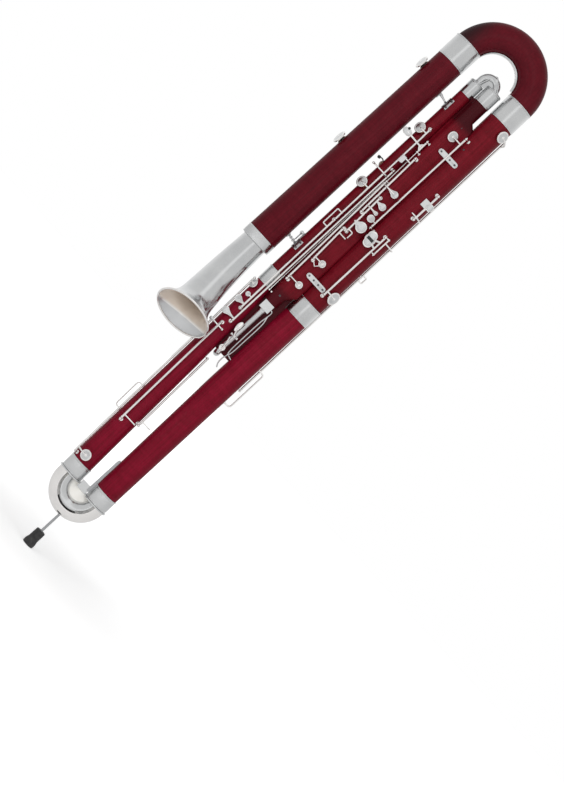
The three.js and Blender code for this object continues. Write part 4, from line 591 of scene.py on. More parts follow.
for name, line, low, high in (
        ("large_foot_ferrule", large, 164.9, 196.9), ("large_mid_ferrule", large, 732.8, 775.8),
        ("large_top_ferrule", large, 1319.0, 1374.0), ("long_foot_ferrule", long, 173.5, 204.5),
        ("long_mid_ferrule", long, 732.6, 771.6), ("long_top_ferrule", long, 1304.4, 1339.4),
        ("wing_top_ferrule", wing, 1314.9, 1351.9), ("bell_joint_ferrule", bell_line, 1327.3, 1382.3)):
    work = bmesh.new()
    ferrule(work, line, low, high)
    dressed(work, name, silver_plate, "body")

# A narrow steel stay stands beside the foot of the large joint
work = bmesh.new()
slab(work, [(0, 171.0), (6.6, 171.0), (6.4, 262.0), (2.6, 264.0), (0.4, 258.0)], plane - 4, plane + 4, 1)
finished(work, "foot_stay", ground_steel, "body", ())

# Wing joint
# The middle tube, of the same maple: slim and round, with a thick side that is carved to lie
# against the large joint. Its foot sits in the water slide's socket.
fit_gap = 0.3


def wing_ring(height, reach_share, count=120):
    """Places round the wing joint at a height, out to its thick side and cut for its neighbour."""
    centre = centre_at(wing, height)
    radius = radius_at(wing, height)
    side = Vector((25 * reach_share, -3 * reach_share, 0))
    nest = centre_at(large, height) - centre
    nest_radius = radius_at(large, height) + fit_gap
    seam = centre_at(long, height) - centre
    seam_radius = radius_at(long, height) + fit_gap
    if 730 < height < 777:
        nest_radius += 1.9
        seam_radius += 1.9
    ring = []
    for turn in all_round(count):
        way = Vector((math.cos(turn), math.sin(turn), 0))
        reach = radius
        for k in range(1, 25):
            middle, round_radius = side * (k / 24), radius + (9 - radius) * (k / 24)
            along = middle.dot(way)
            off = middle.length_squared - along ** 2
            if off < round_radius ** 2:
                reach = max(reach, along + math.sqrt(round_radius ** 2 - off))
        along = seam.dot(way)
        off = seam.length_squared - along ** 2
        if along > 0 and off < seam_radius ** 2:
            filler = 5 * max(0, 1 - (way.angle(seam) / math.radians(24)) ** 2)
            reach = max(reach, min(along - math.sqrt(seam_radius ** 2 - off), radius + filler))
        along = nest.dot(way)
        off = nest.length_squared - along ** 2
        if along > 0 and off < nest_radius ** 2:
            reach = min(reach, along - math.sqrt(nest_radius ** 2 - off))
        ring.append(centre + way * reach)
    return ring


work = bmesh.new()
stations = [(715.6, 0.0), (730, 0.05), (739.5, 0.3), (750, 0.62), (760.5, 1.0), (790, 1.0), (900, 1.0),
            (1000, 1.0), (1100, 1.0), (1190, 1.0), (1258, 1.0), (1266, 0.8), (1275, 0.35), (1281, 0.1),
            (1286, 0.0), (1314.4, 0.0)]
rings = [wing_ring(height, share) for height, share in stations]
foot_centre = centre_at(wing, 715.6)
rings = [hoop(Vector((foot_centre.x, foot_centre.y, 697.3)), up, 11.6, 120),
         hoop(foot_centre, up, 11.6, 120)] + rings
rings += [hoop(centre_at(wing, height), up, 17.5, 120) for height in (1314.4, 1344.4)]
skinned(work, rings)


def tongue_side(line, height, y, side):
    """Where the wood behind the water slide stops short of a tube, at a depth."""
    centre, reach = centre_at(line, height), radius_at(line, height) + (fit_gap if height < 731 else 2.0)
    return centre.x + side * math.sqrt(reach ** 2 - (y - centre.y) ** 2)


rings = []
for height in [569 + 5 * i for i in range(33)] + [732 + 5 * i for i in range(6)]:
    depths = [-22.5 + 15.3 * k / 8 for k in range(9)]
    rings.append([Vector((tongue_side(large, height, y, -1), y, height)) for y in depths]
                 + [Vector((tongue_side(long, height, y, 1), y, height)) for y in depths[::-1]])
skinned(work, rings)
# The same wood, with painted shade at its ends, which lie in the shade of other parts
wing_maple = lacquered_maple("garnet_maple_with_painted_shade_ends", "#580813", "#690C1A", "#781221",
                             [(1.238, 1.262, "#3E0911"), (0.762, 0.742, "#4A0A14")])
dressed(work, "wing_joint", wing_maple, "body", sharp=50)

# Small top bow
# A drawn silver-plated U tube between the long joint and the wing joint, on two round caps, with
# a bent wire soldered over it as a guard.
small_from, small_to = Vector((-70.8, plane, 1352.2)), Vector((-34.2, -26.6, 1352.2))
small_middle = small_from.lerp(small_to, 0.5)
small_bend = (small_to - small_from).length / 2
small_out = (small_from - small_middle).normalized()
work = bmesh.new()
way = [small_from - Vector((0, 0, 19.5))]
for i in range(33):
    turn = math.pi * i / 32
    way.append(small_middle + small_out * (small_bend * math.cos(turn))
               + Vector((0, 0, small_bend * math.sin(turn))))
way.append(small_to - Vector((0, 0, 7.4)))
drawn(work, way, 8.4, 32, bore=1.2)
for x, y, low, radius in ((-70.8, plane, 1339.7, 16.0), (-34.2, -26.6, 1352.2, 19.4)):
    turned(work, [(8.2, low), (radius, low), (radius, low + 1.4), (radius - 2, low + 2),
                  (10.4, low + 2.4), (9.4, low + 5), (8.2, low + 5)], (x, y, 0), up, 64, 0.4, closed=True)


def smooth_way(places, per=8):
    """A smooth way through places."""
    places = [Vector(place) for place in places]
    ends = [places[0] * 2 - places[1]] + places + [places[-1] * 2 - places[-2]]
    way = []
    for i in range(1, len(ends) - 2):
        a, b, c, d = ends[i - 1:i + 3]
        for k in range(per):
            t = k / per
            way.append(((b * 2) + (c - a) * t + (a * 2 - b * 5 + c * 4 - d) * t ** 2
                        + (b * 3 - a - c * 3 + d) * t ** 3) / 2)
    return way + [places[-1]]


web = []
for i in range(13):
    turn = math.pi * i / 12
    web.append(small_middle + small_out * (11 * math.cos(turn)) + Vector((0, 0, 11 * math.sin(turn))))
across = Vector((small_out.y, -small_out.x, 0)).normalized()
slab(work, oblong(-57, 1306, -51.8, 1344), -25.4, -22, 0.5)
web = [web[0] - Vector((0, 0, 12))] + web + [web[-1] - Vector((0, 0, 2))]
skinned(work, [[place - across * 3.5 for place in web], [place - across * 1.5 for place in web]])
drawn(work, smooth_way([(-68, -30.4, 1340.7), (-60.5, -29, 1365), (-52.5, -27.8, 1378.9),
                        (-37.9, -35, 1365), (-25.8, -36.4, 1352.9)]), 1.4, 12)
dressed(work, "small_top_bow", silver_plate, "body")

# Top bow and bell joint
# The top bow is bored and turned from bent-grain maple and the bell joint from straight maple,
# both stained darker than the joints. A silver-plated strip lines the inside of the bow.
dark_maple = lacquered_maple("dark_red_lacquered_maple", "#4A0813", "#560B18", "#62111D")
bow_middle, bow_bend = Vector((-59.6, plane, bow_height)), 82.2

work = bmesh.new()
way = half_circle(bow_middle, bow_bend, 1, 10.7, 10.7, 72)
drawn(work, [way[0], way[0] + Vector((0, 0, 10.2))], [31.6, 31.6], 96, bore=8)
drawn(work, [way[-1], way[-1] + Vector((0, 0, 10.6))], [30.0, 30.0], 96, bore=7)
drawn(work, way[1:-1], 32, 96, bore=9)

# The same dark wood, with painted shade that leaves the bell side of the bow almost black
bow_maple = lacquered_maple("top_bow_maple_with_painted_shade", "#4A0813", "#560B18", "#62111D",
                            [(-0.118, -0.162, "#2E1317")], "X")
dressed(work, "top_bow", bow_maple, "body")

work = bmesh.new()
inner = bow_bend - 32 - fit_gap
rings = []
for i in range(61):
    turn = math.radians(10 + 162 * i / 60)
    out = Vector((-math.cos(turn), 0, math.sin(turn)))
    edge = inner - 1.6 - 3.2 * i / 60
    ring = eased([Vector((inner, -9)), Vector((inner, 9)), Vector((edge, 7)), Vector((edge, -7))], 0.7, True)
    rings.append([bow_middle + out * corner.x + Vector((0, corner.y, 0)) for corner in ring])
skinned(work, rings)
dressed(work, "top_bow_guard", silver_plate, "body")

work = bmesh.new()
column(work, bell_line, [(27, 780.4), (35.1, 780.4), (35.1, 798.8), (36, 798.8), (32.88, 1327.0),
                         (32.2, 1327.0), (32.2, 1362.9), (23, 1362.9)], 112, 0.3)
dressed(work, "bell_joint", dark_maple, "body")

# Bell
# A thin spun brass bell, silver-plated, with a collar over the bell joint's tenon and a rolled
# rim. Below its straight neck it bends to the front, and its mouth is turned a little outwards.
bell_foot = 775.5
bell_turn, bell_tilt = math.radians(6), math.radians(32.5)
bell_straight, bell_bent = 34, 100


def bent(radius, height, turn):
    """A place on the bell from its straight profile, bent to the front and turned."""
    x, front = radius * math.cos(turn), radius * math.sin(turn)
    depth = max(0, -height - bell_straight)
    angle = min(depth / bell_bent, 1) * bell_tilt
    past = max(0, depth - bell_bent)
    curve = bell_bent / bell_tilt
    y = -curve * (1 - math.cos(angle)) - past * math.sin(angle) + front * math.cos(angle)
    z = (max(height, -bell_straight) - curve * math.sin(angle) - past * math.cos(angle)
         - front * math.sin(angle))
    return Matrix.Rotation(bell_turn, 3, "Z") @ Vector((x, y, z)) + Vector((bell_x, plane, bell_foot))


def between(table, place):
    """A smooth reading between the rows of a table."""
    for i in range(len(table) - 1):
        (a, va), (b, vb) = table[i], table[i + 1]
        if place <= b:
            before = table[i - 1][1] if i else va
            after = table[i + 2][1] if i + 2 < len(table) else vb
            t = (place - a) / (b - a)
            rise_a, rise_b = (vb - before) / 2, (after - va) / 2
            return ((2 * t ** 3 - 3 * t ** 2 + 1) * va + (t ** 3 - 2 * t ** 2 + t) * rise_a
                    + (3 * t ** 2 - 2 * t ** 3) * vb + (t ** 3 - t ** 2) * rise_b)
    return table[-1][1]


flare = [(0, 30.2), (37, 31.8), (75, 33.6), (127, 36.2), (177, 39.2), (193, 42.6), (207.7, 50.3),
         (219, 59.5), (224.2, 63.9)]
outer = [(between(flare, depth), -depth) for depth in [222.6 * (i / 47) ** 0.8 for i in range(48)]]
rim = [(64.3 + 2.2 * math.cos(math.radians(t)), -224.8 + 2.2 * math.sin(math.radians(t)))
       for t in range(120, -200, -20)]
inner_wall = [(radius - 1.1, height - 0.5) for radius, height in outer[::-1]]
collar = [(35.4, 23), (36.6, 23), (37.0, 22.4), (37.0, 20.6), (36.6, 20.0), (36.6, 3.4), (36.0, 1.6),
          (32, 1.1), (30.8, 0.4)]
profile = collar + outer + rim + inner_wall + [(26.3, 1.2), (30, 2.4), (35.4, 2.6)]
work = bmesh.new()
sides = 128
skinned(work, [[bent(radius, height, turn) for turn in all_round(sides)] for radius, height in profile], True)
bell = dressed(work, "bell", silver_plate, "bell", sharp=50)

# The rim takes the lighter silver as a painted highlight. At the edge of the throat a bright band is a
# painted highlight, and above it the throat is painted matt and beige, a painted reflection of the light
# inside the bell
spun_inside, tree, place = started("silver_inside_with_painted_beige_throat")
rings = node(tree, "ShaderNodeTexNoise", {"Vector": node(tree, "ShaderNodeMapping", {
    "Vector": place, "Scale": (30, 30, 900)}).outputs[0], "Scale": 1.0, "Detail": 3.0})
deep = node(tree, "ShaderNodeVectorMath", {0: place, 1: (-0.133, 0, 1)}, operation="DOT_PRODUCT")
edge = node(tree, "ShaderNodeMapRange", {"Value": deep.outputs["Value"], "From Min": 0.578,
                                         "From Max": 0.588})
# Silver below the edge, then a narrow band of painted highlight, then the beige of the painted reflection
shades = node(tree, "ShaderNodeValToRGB", {"Fac": edge.outputs[0]},
              [(0, "#CFD0D1"), (0.2, "#CFD0D1"), (0.45, "#F8F6F3"), (1, "#F3E6D8")])
spun = node(tree, "ShaderNodeMapRange", {"Value": rings.outputs["Fac"], "To Min": 0.9, "To Max": 1.0})
streaked = node(tree, "ShaderNodeVectorMath", {0: shades.outputs["Color"], "Scale": spun.outputs[0]},
                operation="SCALE")
# Above the edge the metal gives way to a matt finish, so the painted beige shows as it is
metal = node(tree, "ShaderNodeMapRange", {"Value": edge.outputs[0], "From Min": 0.4, "From Max": 0.8,
                                          "To Min": 1.0, "To Max": 0.1})
rough = node(tree, "ShaderNodeMapRange", {"Value": rings.outputs["Fac"], "To Min": 0.25, "To Max": 0.4})
surface = node(tree, "ShaderNodeBsdfPrincipled", {
    "Base Color": streaked.outputs[0], "Metallic": metal.outputs[0], "Roughness": rough.outputs[0]})
node(tree, "ShaderNodeOutputMaterial", {"Surface": surface.outputs[0]})
bell.data.materials.append(spun_inside)
# The rolled rim takes the lighter silver, a painted highlight
bell.data.materials.append(painted_bright_silver)
first_rim = (len(collar) + len(outer) - 1) * sides
first_inside = first_rim + len(rim) * sides
for face in bell.data.polygons:
    if face.index >= first_rim:
        face.material_index = 1 if face.index >= first_inside else 2

# Water slide, receiver and tuning slide
# Below the wing joint the air turns round in a silver-plated U slide and goes up a receiver tube
# behind the joint. The tuning slide moves in the receiver and ends in the bocal's socket.
slide_x, slide_front, slide_back, slide_low = -26.9, -30.6, 3.4, 579.8
slide_middle, slide_bend = (slide_front + slide_back) / 2, (slide_back - slide_front) / 2
wire_front = slide_front - 2
hinge = Vector((slide_x, -43.9, 613.8))
work = bmesh.new()
way = [Vector((slide_x, slide_front, 696.0))]
for i in range(33):
    turn = math.pi * i / 32
    way.append(Vector((slide_x, slide_middle - slide_bend * math.cos(turn),
                       slide_low - slide_bend * math.sin(turn))))
way.append(Vector((slide_x, slide_back, 775.2)))
drawn(work, way, 7.3, 40, bore=0.9)
slab(work, oblong(slide_x - 12.6, 694.8, slide_x + 12.6, 715.3), slide_front - 12.8, slide_front + 11, 0.8)
turned(work, [(7.2, 689), (8.2, 689.4), (8.6, 694.9), (7.2, 694.9)], (slide_x, slide_front, 0), up, 48,
       0.3, closed=True)
drawn(work, smooth_way([(-14.6, slide_front, 706), (-9.6, slide_front, 703)] + [
    (x, wire_front, z) for x, z in (
        (-9.4, 693), (-11.6, 670), (-11.8, 620), (-11.2, 590), (-8.2, 578), (-5.0, 588), (-4.6, 620),
        (-4.8, 670), (-9.4, 691))]), 1.7, 12)
drawn(work, [Vector((-7.6, wire_front, 578)), Vector((4.6, slide_front, 575))], 1.5, 12)
drawn(work, smooth_way([(x, wire_front, z) for x, z in (
    (-7.6, 577), (-10.4, 566), (-9.6, 552), (-5.2, 544))]), 1.4, 12)
turned(work, [(1, -2.8), (2.3, -1.9), (2.8, 0), (2.3, 1.9), (1, 2.8)], (-8.0, wire_front, 578), -forward,
       24, 0.6)
for end in (-5.5, 5.5):
    ball = hinge + Vector((end, 0, 0))
    turned(work, [(2.2, 0), (1.9, 1.5), (1.5, 3), (1.5, 7.2), (2.0, 8)], (ball.x, -35.2, ball.z),
           forward, 20)
    turned(work, [(1.4, -2.4), (2.2, -1.7), (2.5, 0), (2.2, 1.7), (1.4, 2.4)], ball, forward, 24, 0.5)
turned(work, [(1.1, -7), (1.1, 7)], hinge, (1, 0, 0), 16)
dressed(work, "water_slide", silver_plate, "body")

work = bmesh.new()
turned(work, [(8.2, 745.6), (9.4, 745.6), (9.4, 1018.3), (10.4, 1018.8), (10.4, 1020.2), (9.7, 1020.8),
              (9.7, 1025.2), (10.4, 1025.8), (10.4, 1027.0), (8.2, 1027.0)],
       (slide_x, slide_back, 0), up, 48, 0.3, closed=True)
turned(work, [(7.6, 745.6), (9.3, 745.6), (9.3, 760.5), (7.6, 760.5)], (slide_x, slide_back, 0), up,
       48, 0.3, closed=True)
for height in (787.7, 984.8):
    front = centre_at(wing, height).y + radius_at(wing, height) + fit_gap
    turned(work, [(4.6, 0), (4.6, 0.8), (3.2, 1.6), (3.2, slide_back - 8.4 - front)],
           (slide_x, front, height), -forward, 28, 0.4)
dressed(work, "receiver_tube", silver_plate, "body")

work = bmesh.new()
turned(work, [(6.4, 907.1), (7.4, 907.1), (7.4, 1059.1), (10.5, 1060.1), (10.5, 1076), (10.1, 1077),
              (10.5, 1078), (10.5, 1082.9), (11.5, 1083.2), (11.5, 1084.8), (11.1, 1085.1), (6, 1085.1),
              (5, 1059.1), (6.4, 1057.1)], (slide_x, slide_back, 0), up, 48, 0.3, closed=True)
dressed(work, "tuning_slide", silver_plate, "tuning_slide")


# Rods on ball-head posts
# Keys turn on steel rods between posts that are screwed into the wood, each with a round base,
# a slim stem and a ball head. The small screws in the end balls hold the rods.
def facing(turn):
    """The level direction that a turn in degrees from the front stands for."""
    return Vector((math.sin(math.radians(turn)), -math.cos(math.radians(turn)), 0))


def spot(line, turn, height, distance):
    """A place at a height, a turn from the front and a distance from the middle of a tube."""
    return centre_at(line, height) + facing(turn) * distance


split_share = 0.5066


def at(share):
    """A height by its share of the way from the boot bow to the top bow, below or above the split."""
    if share < split_share:
        return boot_height + (split_height - boot_height) * share / split_share
    return split_height + (bow_height - split_height) * (share - split_share) / (1 - split_share)


# For each rod: the line of its tube, the shares of its ends, their turns from the front in degrees,
# how far it stands off the wood, and the shares of the posts between its ends
rails = {
    "long_front": (long, 0.4137, 0.8584, 0, 6, 7, [0.6335]),
    "long_second": (long, 0.3863, 0.7639, 14.6, 33, 7, []),
    "wing_outer": (wing, 0.5064, 0.8395, -36, -52, 7, [0.7433, 0.8155]),
    "wing_second": (wing, 0.6764, 0.8052, -22, -28, 7, []),
    "wing_low_pair": (wing, 0.5597, 0.6352, -14, -22, 7, []),
    "wing_high_pair": (wing, 0.6352, 0.7159, -1, -6, 7, []),
    "large_inner": (large, 0.6695, 0.891, -46, -38.6, 12.3, []),
    "large_front": (large, 0.5305, 0.6764, 7, 10, 7, []),
    "large_block": (large, 0.733, 0.7897, 31.4, 32.4, 7, []),
    "large_edge": (large, 0.3159, 0.9391, 112, 112, 7, [0.6]),
    "long_edge": (long, 0.0412, 0.4655, -56, -61, 8, []),
    "long_low_front": (long, 0.1356, 0.3742, -17, -13, 7, []),
    "long_inner": (long, 0.1494, 0.312, 64, 85, 7, []),
    "bell_side": (bell_line, 0.716, 0.9494, -142, -142, 7, []),
    "long_back": (long, 0.62, 0.775, -175, -175, 7, []),
}


def rail_ends(rail):
    """The two ends of a rod."""
    line, low, high, low_turn, high_turn, lift, _ = rail
    return (spot(line, low_turn, at(low), radius_at(line, at(low)) + lift),
            spot(line, high_turn, at(high), radius_at(line, at(high)) + lift))


def on_rail(rail, height):
    """The place on a rod at a height."""
    low, high = rail_ends(rail)
    return low.lerp(high, (height - low.z) / (high.z - low.z))


def rail_stops(rail):
    """The heights of a rod's posts."""
    return [at(share) for share in [rail[1], *rail[6], rail[2]]]


def add_rail(work, rail):
    """A rod with its posts and the small screws in the end balls."""
    low, high = rail_ends(rail)
    lean = (high - low).normalized()
    drawn(work, [low, high], 1.1, 12)
    for height in rail_stops(rail):
        head = on_rail(rail, height)
        centre = centre_at(rail[0], height)
        out = (head - centre).normalized()
        foot = centre + out * (radius_at(rail[0], height) - 0.2)
        rise = (head - foot).length
        stem = [(4.3, 0), (4.3, 0.7), (3.7, 1.1), (2.1, 1.5), (1.55, 2.4), (1.5, rise - 3.4),
                (1.9, rise - 2.7)]
        ball = [(2.95 * math.cos(math.radians(t)), rise + 2.95 * math.sin(math.radians(t)))
                for t in range(-45, 90, 15)]
        turned(work, stem + ball, foot, out, 28, 0.25)
    for place, way in ((low, -lean), (high, lean)):
        turned(work, [(1.7, 2.2), (1.7, 3.3), (1.2, 3.7)], place, way, 16, 0.2)


# The rods take the lighter silver, a painted highlight
for member in ("long_front", "long_second", "wing_outer", "wing_second", "wing_pair", "large_inner",
               "large_front", "large_block", "large_edge", "long_edge", "long_low_front", "long_inner"):
    work = bmesh.new()
    if member == "wing_pair":
        low_rail, high_rail = rails["wing_low_pair"], rails["wing_high_pair"]
        add_rail(work, low_rail)
        add_rail(work, high_rail)
        drawn(work, [rail_ends(low_rail)[1], rail_ends(high_rail)[0]], 1.6, 14)
    else:
        add_rail(work, rails[member])
    name = "wing_pair_rods" if member == "wing_pair" else member + "_rod"
    dressed(work, name, painted_bright_silver, "body")
# These rods also take the lighter silver, a painted highlight
for name, member in (("bell_side_rod_dressed", "bell_side"), ("thumb_rod_dressed", "long_back")):
    work = bmesh.new()
    add_rail(work, rails[member])
    finished(work, name, painted_bright_silver, "body", ())

# A plain stay lies in the seam between the wing joint and the long joint, with two low posts
work = bmesh.new()
drawn(work, [Vector((-48.9, -38, 733)), Vector((-50.7, -36.2, 900)), Vector((-51.8, -35.2, 1058))], 1.4, 12)
for x, foot, height in ((-48.9, -31, 733), (-42.6, -22.3, 733)):
    turned(work, [(2.6, 0), (2.6, 0.8), (1.3, 1.6), (1.3, 39.5 + foot - 1.5), (2.2, 39.5 + foot - 0.6),
                  (2.5, 39.5 + foot + 0.8), (1.6, 39.5 + foot + 2.2)], (x, foot, height), forward, 20, 0.3)
# The stay takes the lighter silver, a painted highlight
finished(work, "seam_stay", painted_bright_silver, "body", ())

# Keys
# Each key is a silver-plated tube that turns on its rod, with soldered arms, padded cups over the
# tone holes, and touches cast for the fingers. The pads are felt discs in tan leather.
# For each cup: the line of its tube, its share, its turn from the front in degrees, how far it sits
# to the side as a share of the tube's radius, and its own radius.
cups = {
    "long_high": (long, 0.8481, -44, 0, 12.4), "long_low": (long, 0.7124, -44, 0, 12.4),
    "wing_small_low": (wing, 0.5133, 0, 0.8, 8.2), "wing_small_high": (wing, 0.5665, 0, 0.84, 8.2),
    "wing_high": (wing, 0.8773, 22, 0, 12), "large_mid": (large, 0.5408, 46, 0, 15),
    "large_high": (large, 0.9391, 39.5, 0, 13.6), "long_foot": (long, 0.0505, -4, 0, 12),
    "long_middle": (long, 0.4585, -46, 0, 10), "bell_low": (bell_line, 0.7365, -82, 0, 15.6),
    "bell_high": (bell_line, 0.927, -82, 0, 15.6), "thumb": (long, 0.76, -145, 0, 10),
}
# Degrees by which three cups face further round than the wood under them
cup_tilts = {"long_middle": 16, "bell_low": 14, "bell_high": 14}

# Tan leather over felt: soft and matt, with fine pores and darker where it is worn
pad_leather, tree, place = started("tan_pad_leather")
skin = node(tree, "ShaderNodeTexVoronoi", {"Vector": place, "Scale": 1400.0})
wear = node(tree, "ShaderNodeTexNoise", {"Vector": place, "Scale": 160.0, "Detail": 4.0})
shades = node(tree, "ShaderNodeValToRGB", {"Fac": wear.outputs["Fac"]},
              [(0.35, "#A67C55"), (0.7, "#C8A27C")])
relief = node(tree, "ShaderNodeBump", {"Height": skin.outputs["Distance"], "Strength": 0.3,
                                       "Distance": 0.0002})
surface = node(tree, "ShaderNodeBsdfPrincipled", {
    "Base Color": shades.outputs["Color"], "Roughness": 0.6, "IOR": 1.45, "Normal": relief.outputs[0]})
node(tree, "ShaderNodeOutputMaterial", {"Surface": surface.outputs[0]})


def seat_of(cup):
    """The place where a cup sits over its tone hole."""
    line, share, turn, side_share, _ = cups[cup]
    height = at(share)
    radius = radius_at(line, height)
    foot = centre_at(line, height) + facing(turn + 90) * (radius * side_share)
    return foot + facing(turn) * (radius + 1.6)


# Bare countersunk maple round each tone hole, and in it a near-black plug of painted shade for the dark of
# the bore
bare_maple = lacquered_maple("bare_maple_seat", "#B98A5C", "#CFA06F", "#DDB486")
painted_bore_shade = lacquered_maple("bore_painted_as_shade", "#0C0504", "#150807", "#1D0C0A")
rims, bores = bmesh.new(), bmesh.new()
for cup, (line, share, turn, side_share, radius) in cups.items():
    hole = radius * 0.52
    height = at(share)
    reach = radius_at(line, height)
    rise = reach * math.sqrt(1 - side_share ** 2)
    foot = centre_at(line, height) + facing(turn + 90) * (reach * side_share) + facing(turn) * rise
    out = facing(turn + cup_tilts.get(cup, 0))
    turned(rims, [(hole, -5), (hole + 2.6, -5), (hole + 2.2, 0.35), (hole + 0.5, 0.35)], foot, out, 48, 0.3,
           closed=True)
    turned(bores, [(hole + 0.2, -5.5), (hole + 0.2, 0.12), (hole * 0.5, 0.1)], foot, out, 40, 0.1)
finished(rims, "tone_hole_seats", bare_maple, "body")
finished(bores, "tone_hole_painted_bore_shade", painted_bore_shade, "body")


def barrels(rail, stops=None, side=-1, half=7.5, width=9.9):
    """A key's tubes between its posts, with collars at their ends and brackets past inner posts."""
    work = bmesh.new()
    stops = stops or rail_stops(rail)
    for low, high in zip(stops, stops[1:]):
        start, end = on_rail(rail, low + 3.2), on_rail(rail, high - 3.2)
        reach = (end - start).length
        turned(work, [(1.65, 0), (2.4, 0), (2.75, 0.5), (2.75, 2), (2.4, 2.4), (2.4, reach - 2.4),
                      (2.75, reach - 2), (2.75, reach - 0.5), (2.4, reach), (1.65, reach)],
               start, end - start, 24, 0.25, closed=True)
    for height in stops[1:-1]:
        low, high = on_rail(rail, height - half), on_rail(rail, height + half)
        out = Vector((side * width, 0, 0))
        corners = eased([low, low + out, high + out, high], 2.4, steps=5)
        drawn(work, corners, 1.7, 14)
    return work


def bowed(work, line, start, end, thick=1.9, thin=1.5):
    """An arm that bows round a tube from its rod to a place on the key."""
    def polar(spot_on):
        off = spot_on - centre_at(line, spot_on.z)
        return math.atan2(off.x, -off.y), math.hypot(off.x, off.y)

    (turn_a, reach_a), (turn_b, reach_b) = polar(start), polar(end)
    way = []
    for i in range(17):
        t = i / 16
        height = start.z + (end.z - start.z) * t
        reach = reach_a + (reach_b - reach_a) * t + 1.8 * math.sin(math.pi * t)
        way.append(spot(line, math.degrees(turn_a + (turn_b - turn_a) * t), height, reach))
    drawn(work, way, [thick + (thin - thick) * i / 16 for i in range(17)], 14)


def painted_edge_highlight(faces, place, out, reach):
    """Gives the middle of a cup or touch the plainer silver, so that its edge keeps the lighter silver as a
    painted highlight.
    """
    for face in faces:
        off = face.calc_center_median() - place
        if (off - out * off.dot(out)).length < reach:
            face.material_index = 1


def add_cup(work, pads, rail, cup, share=None):
    """A padded cup over its tone hole, and the arm that bows round the tube to it."""
    line, own_share, turn, _, radius = cups[cup]
    place = seat_of(cup)
    out = facing(turn + cup_tilts.get(cup, 0))
    cup_profile = [(radius * 0.9, 1.2), (radius - 0.3, 1.2), (radius, 1.6), (radius, 4.0),
                   (radius * 0.95, 4.7), (radius * 0.86, 5.0), (radius * 0.78, 4.75), (radius * 0.7, 4.75),
                   (radius * 0.4, 5.3), (1, 5.6)]
    painted_edge_highlight(turned(work, cup_profile, place, out, 56, 0.3), place, out, radius * 0.8)
    turned(pads, [(radius * 0.3, 0.45), (radius * 0.5, 0.3), (radius * 0.8, 0.35), (radius * 0.87, 0.7),
                  (radius * 0.87, 2.4), (radius * 0.3, 2.4)], place, out, 48, 0.3)
    turned(work, [(3.4, 4.6), (3.4, 5.5), (2.8, 6.0), (1, 6.2)], place, out, 32, 0.3)
    bowed(work, line, on_rail(rail, at(share or own_share)), place + out * 5.0)


def add_arm(work, rail, share, end, hop=0):
    """A straight arm from a rod to a place, or one that hops over what lies between."""
    start = on_rail(rail, at(share))
    if not hop:
        drawn(work, [start, end], [1.8, 1.6], 14)
        return
    lifted = min(start.y, end.y) - hop
    near, far = start.lerp(end, 0.22), end.lerp(start, 0.22)
    drawn(work, smooth_way([start, (near.x, lifted, near.z), (far.x, lifted, far.z), end]), 1.7, 14)


def pear(radius, tail, side, count=40):
    """The outline of a touch across X and Z: round, with a tail that narrows to its arm."""
    if not tail:
        return [Vector((radius * math.cos(t), radius * math.sin(t))) for t in all_round(count)]
    spread = math.pi * 0.295
    tip, waist = radius + tail, radius + tail * 0.33
    start = Vector((radius * math.cos(spread), radius * math.sin(spread)))
    outline = []
    for i in range(9):
        t = i / 8
        outline.append(Vector((tip, 1.7)) * (1 - t) ** 2 + Vector((waist, 1.7)) * (2 * t * (1 - t))
                       + start * t ** 2)
    for i in range(1, count):
        turn = spread + (2 * math.pi - 2 * spread) * i / count
        outline.append(Vector((radius * math.cos(turn), radius * math.sin(turn))))
    outline += [Vector((place.x, -place.y)) for place in outline[8::-1]]
    return [Vector((side * place.x, place.y)) for place in outline]


def add_touch(work, outline, place, thick=2.2, dome=0.7):
    """A cast touch with eased edges, slightly domed to the front."""
    rings, half = [], thick / 2
    for share, depth in ((0.88, half), (0.97, half - 0.25), (1, half - 0.7), (1, 0.7 - half),
                         (0.96, 0.2 - half), (0.86, -half), (0.6, -half - dome * 0.55),
                         (0.3, -half - dome * 0.9), (0.06, -half - dome)):
        rings.append([place + Vector((corner.x * share, depth, corner.y * share)) for corner in outline])
    faces = skinned(work, rings)
    # The front of the touch takes the plainer silver, so that its edge keeps a painted highlight
    for face in faces[len(outline) * 5:]:
        face.material_index = 1


def add_finger(work, rail, line, across, share, outline, lift=11, hop=0):
    """A touch in front of a tube, across it by a share of its radius, and the arm from its rod."""
    height = at(share)
    radius = radius_at(line, height)
    touch = centre_at(line, height) + Vector((across * radius, -radius - lift, 0))
    add_touch(work, outline, touch)
    add_arm(work, rail, share, touch, hop)


def add_bead(work, place):
    """A round bead soldered on the end of an arm."""
    turned(work, [(1, -2.8), (2.2, -1.9), (2.8, 0), (2.2, 1.9), (1, 2.8)], place, up, 24, 0.6)


def hang(name, rail, work, pads=None, open_by=0):
    """Turns a key to where it stands at rest and finishes its pieces."""
    low, high = rail_ends(rail)
    # Keys take the lighter silver, a painted highlight, with the plainer silver as their second material
    for made, title, material, slot in ((work, name + "_dressed", painted_bright_silver, "silver"),
                                        (pads, name + "_pads", pad_leather, None)):
        if made is None:
            continue
        bmesh.ops.rotate(made, cent=low, verts=made.verts,
                         matrix=Matrix.Rotation(math.radians(open_by), 3, high - low))
        piece = finished(made, title, material, name, [name] if made is work else ())
        piece.data.materials.append(silver_plate)


rail = rails["long_front"]
work, pads = barrels(rail, half=21, width=12), bmesh.new()
for cup in ("long_high", "long_low"):
    add_cup(work, pads, rail, cup)
add_finger(work, rail, long, -0.9, 0.4223, pear(8, 12, 1), 7)
add_finger(work, rail, long, -0.5, 0.4395, pear(5.5, 0, 1), 7)
hang("long_front_key", rail, work, pads, 12)

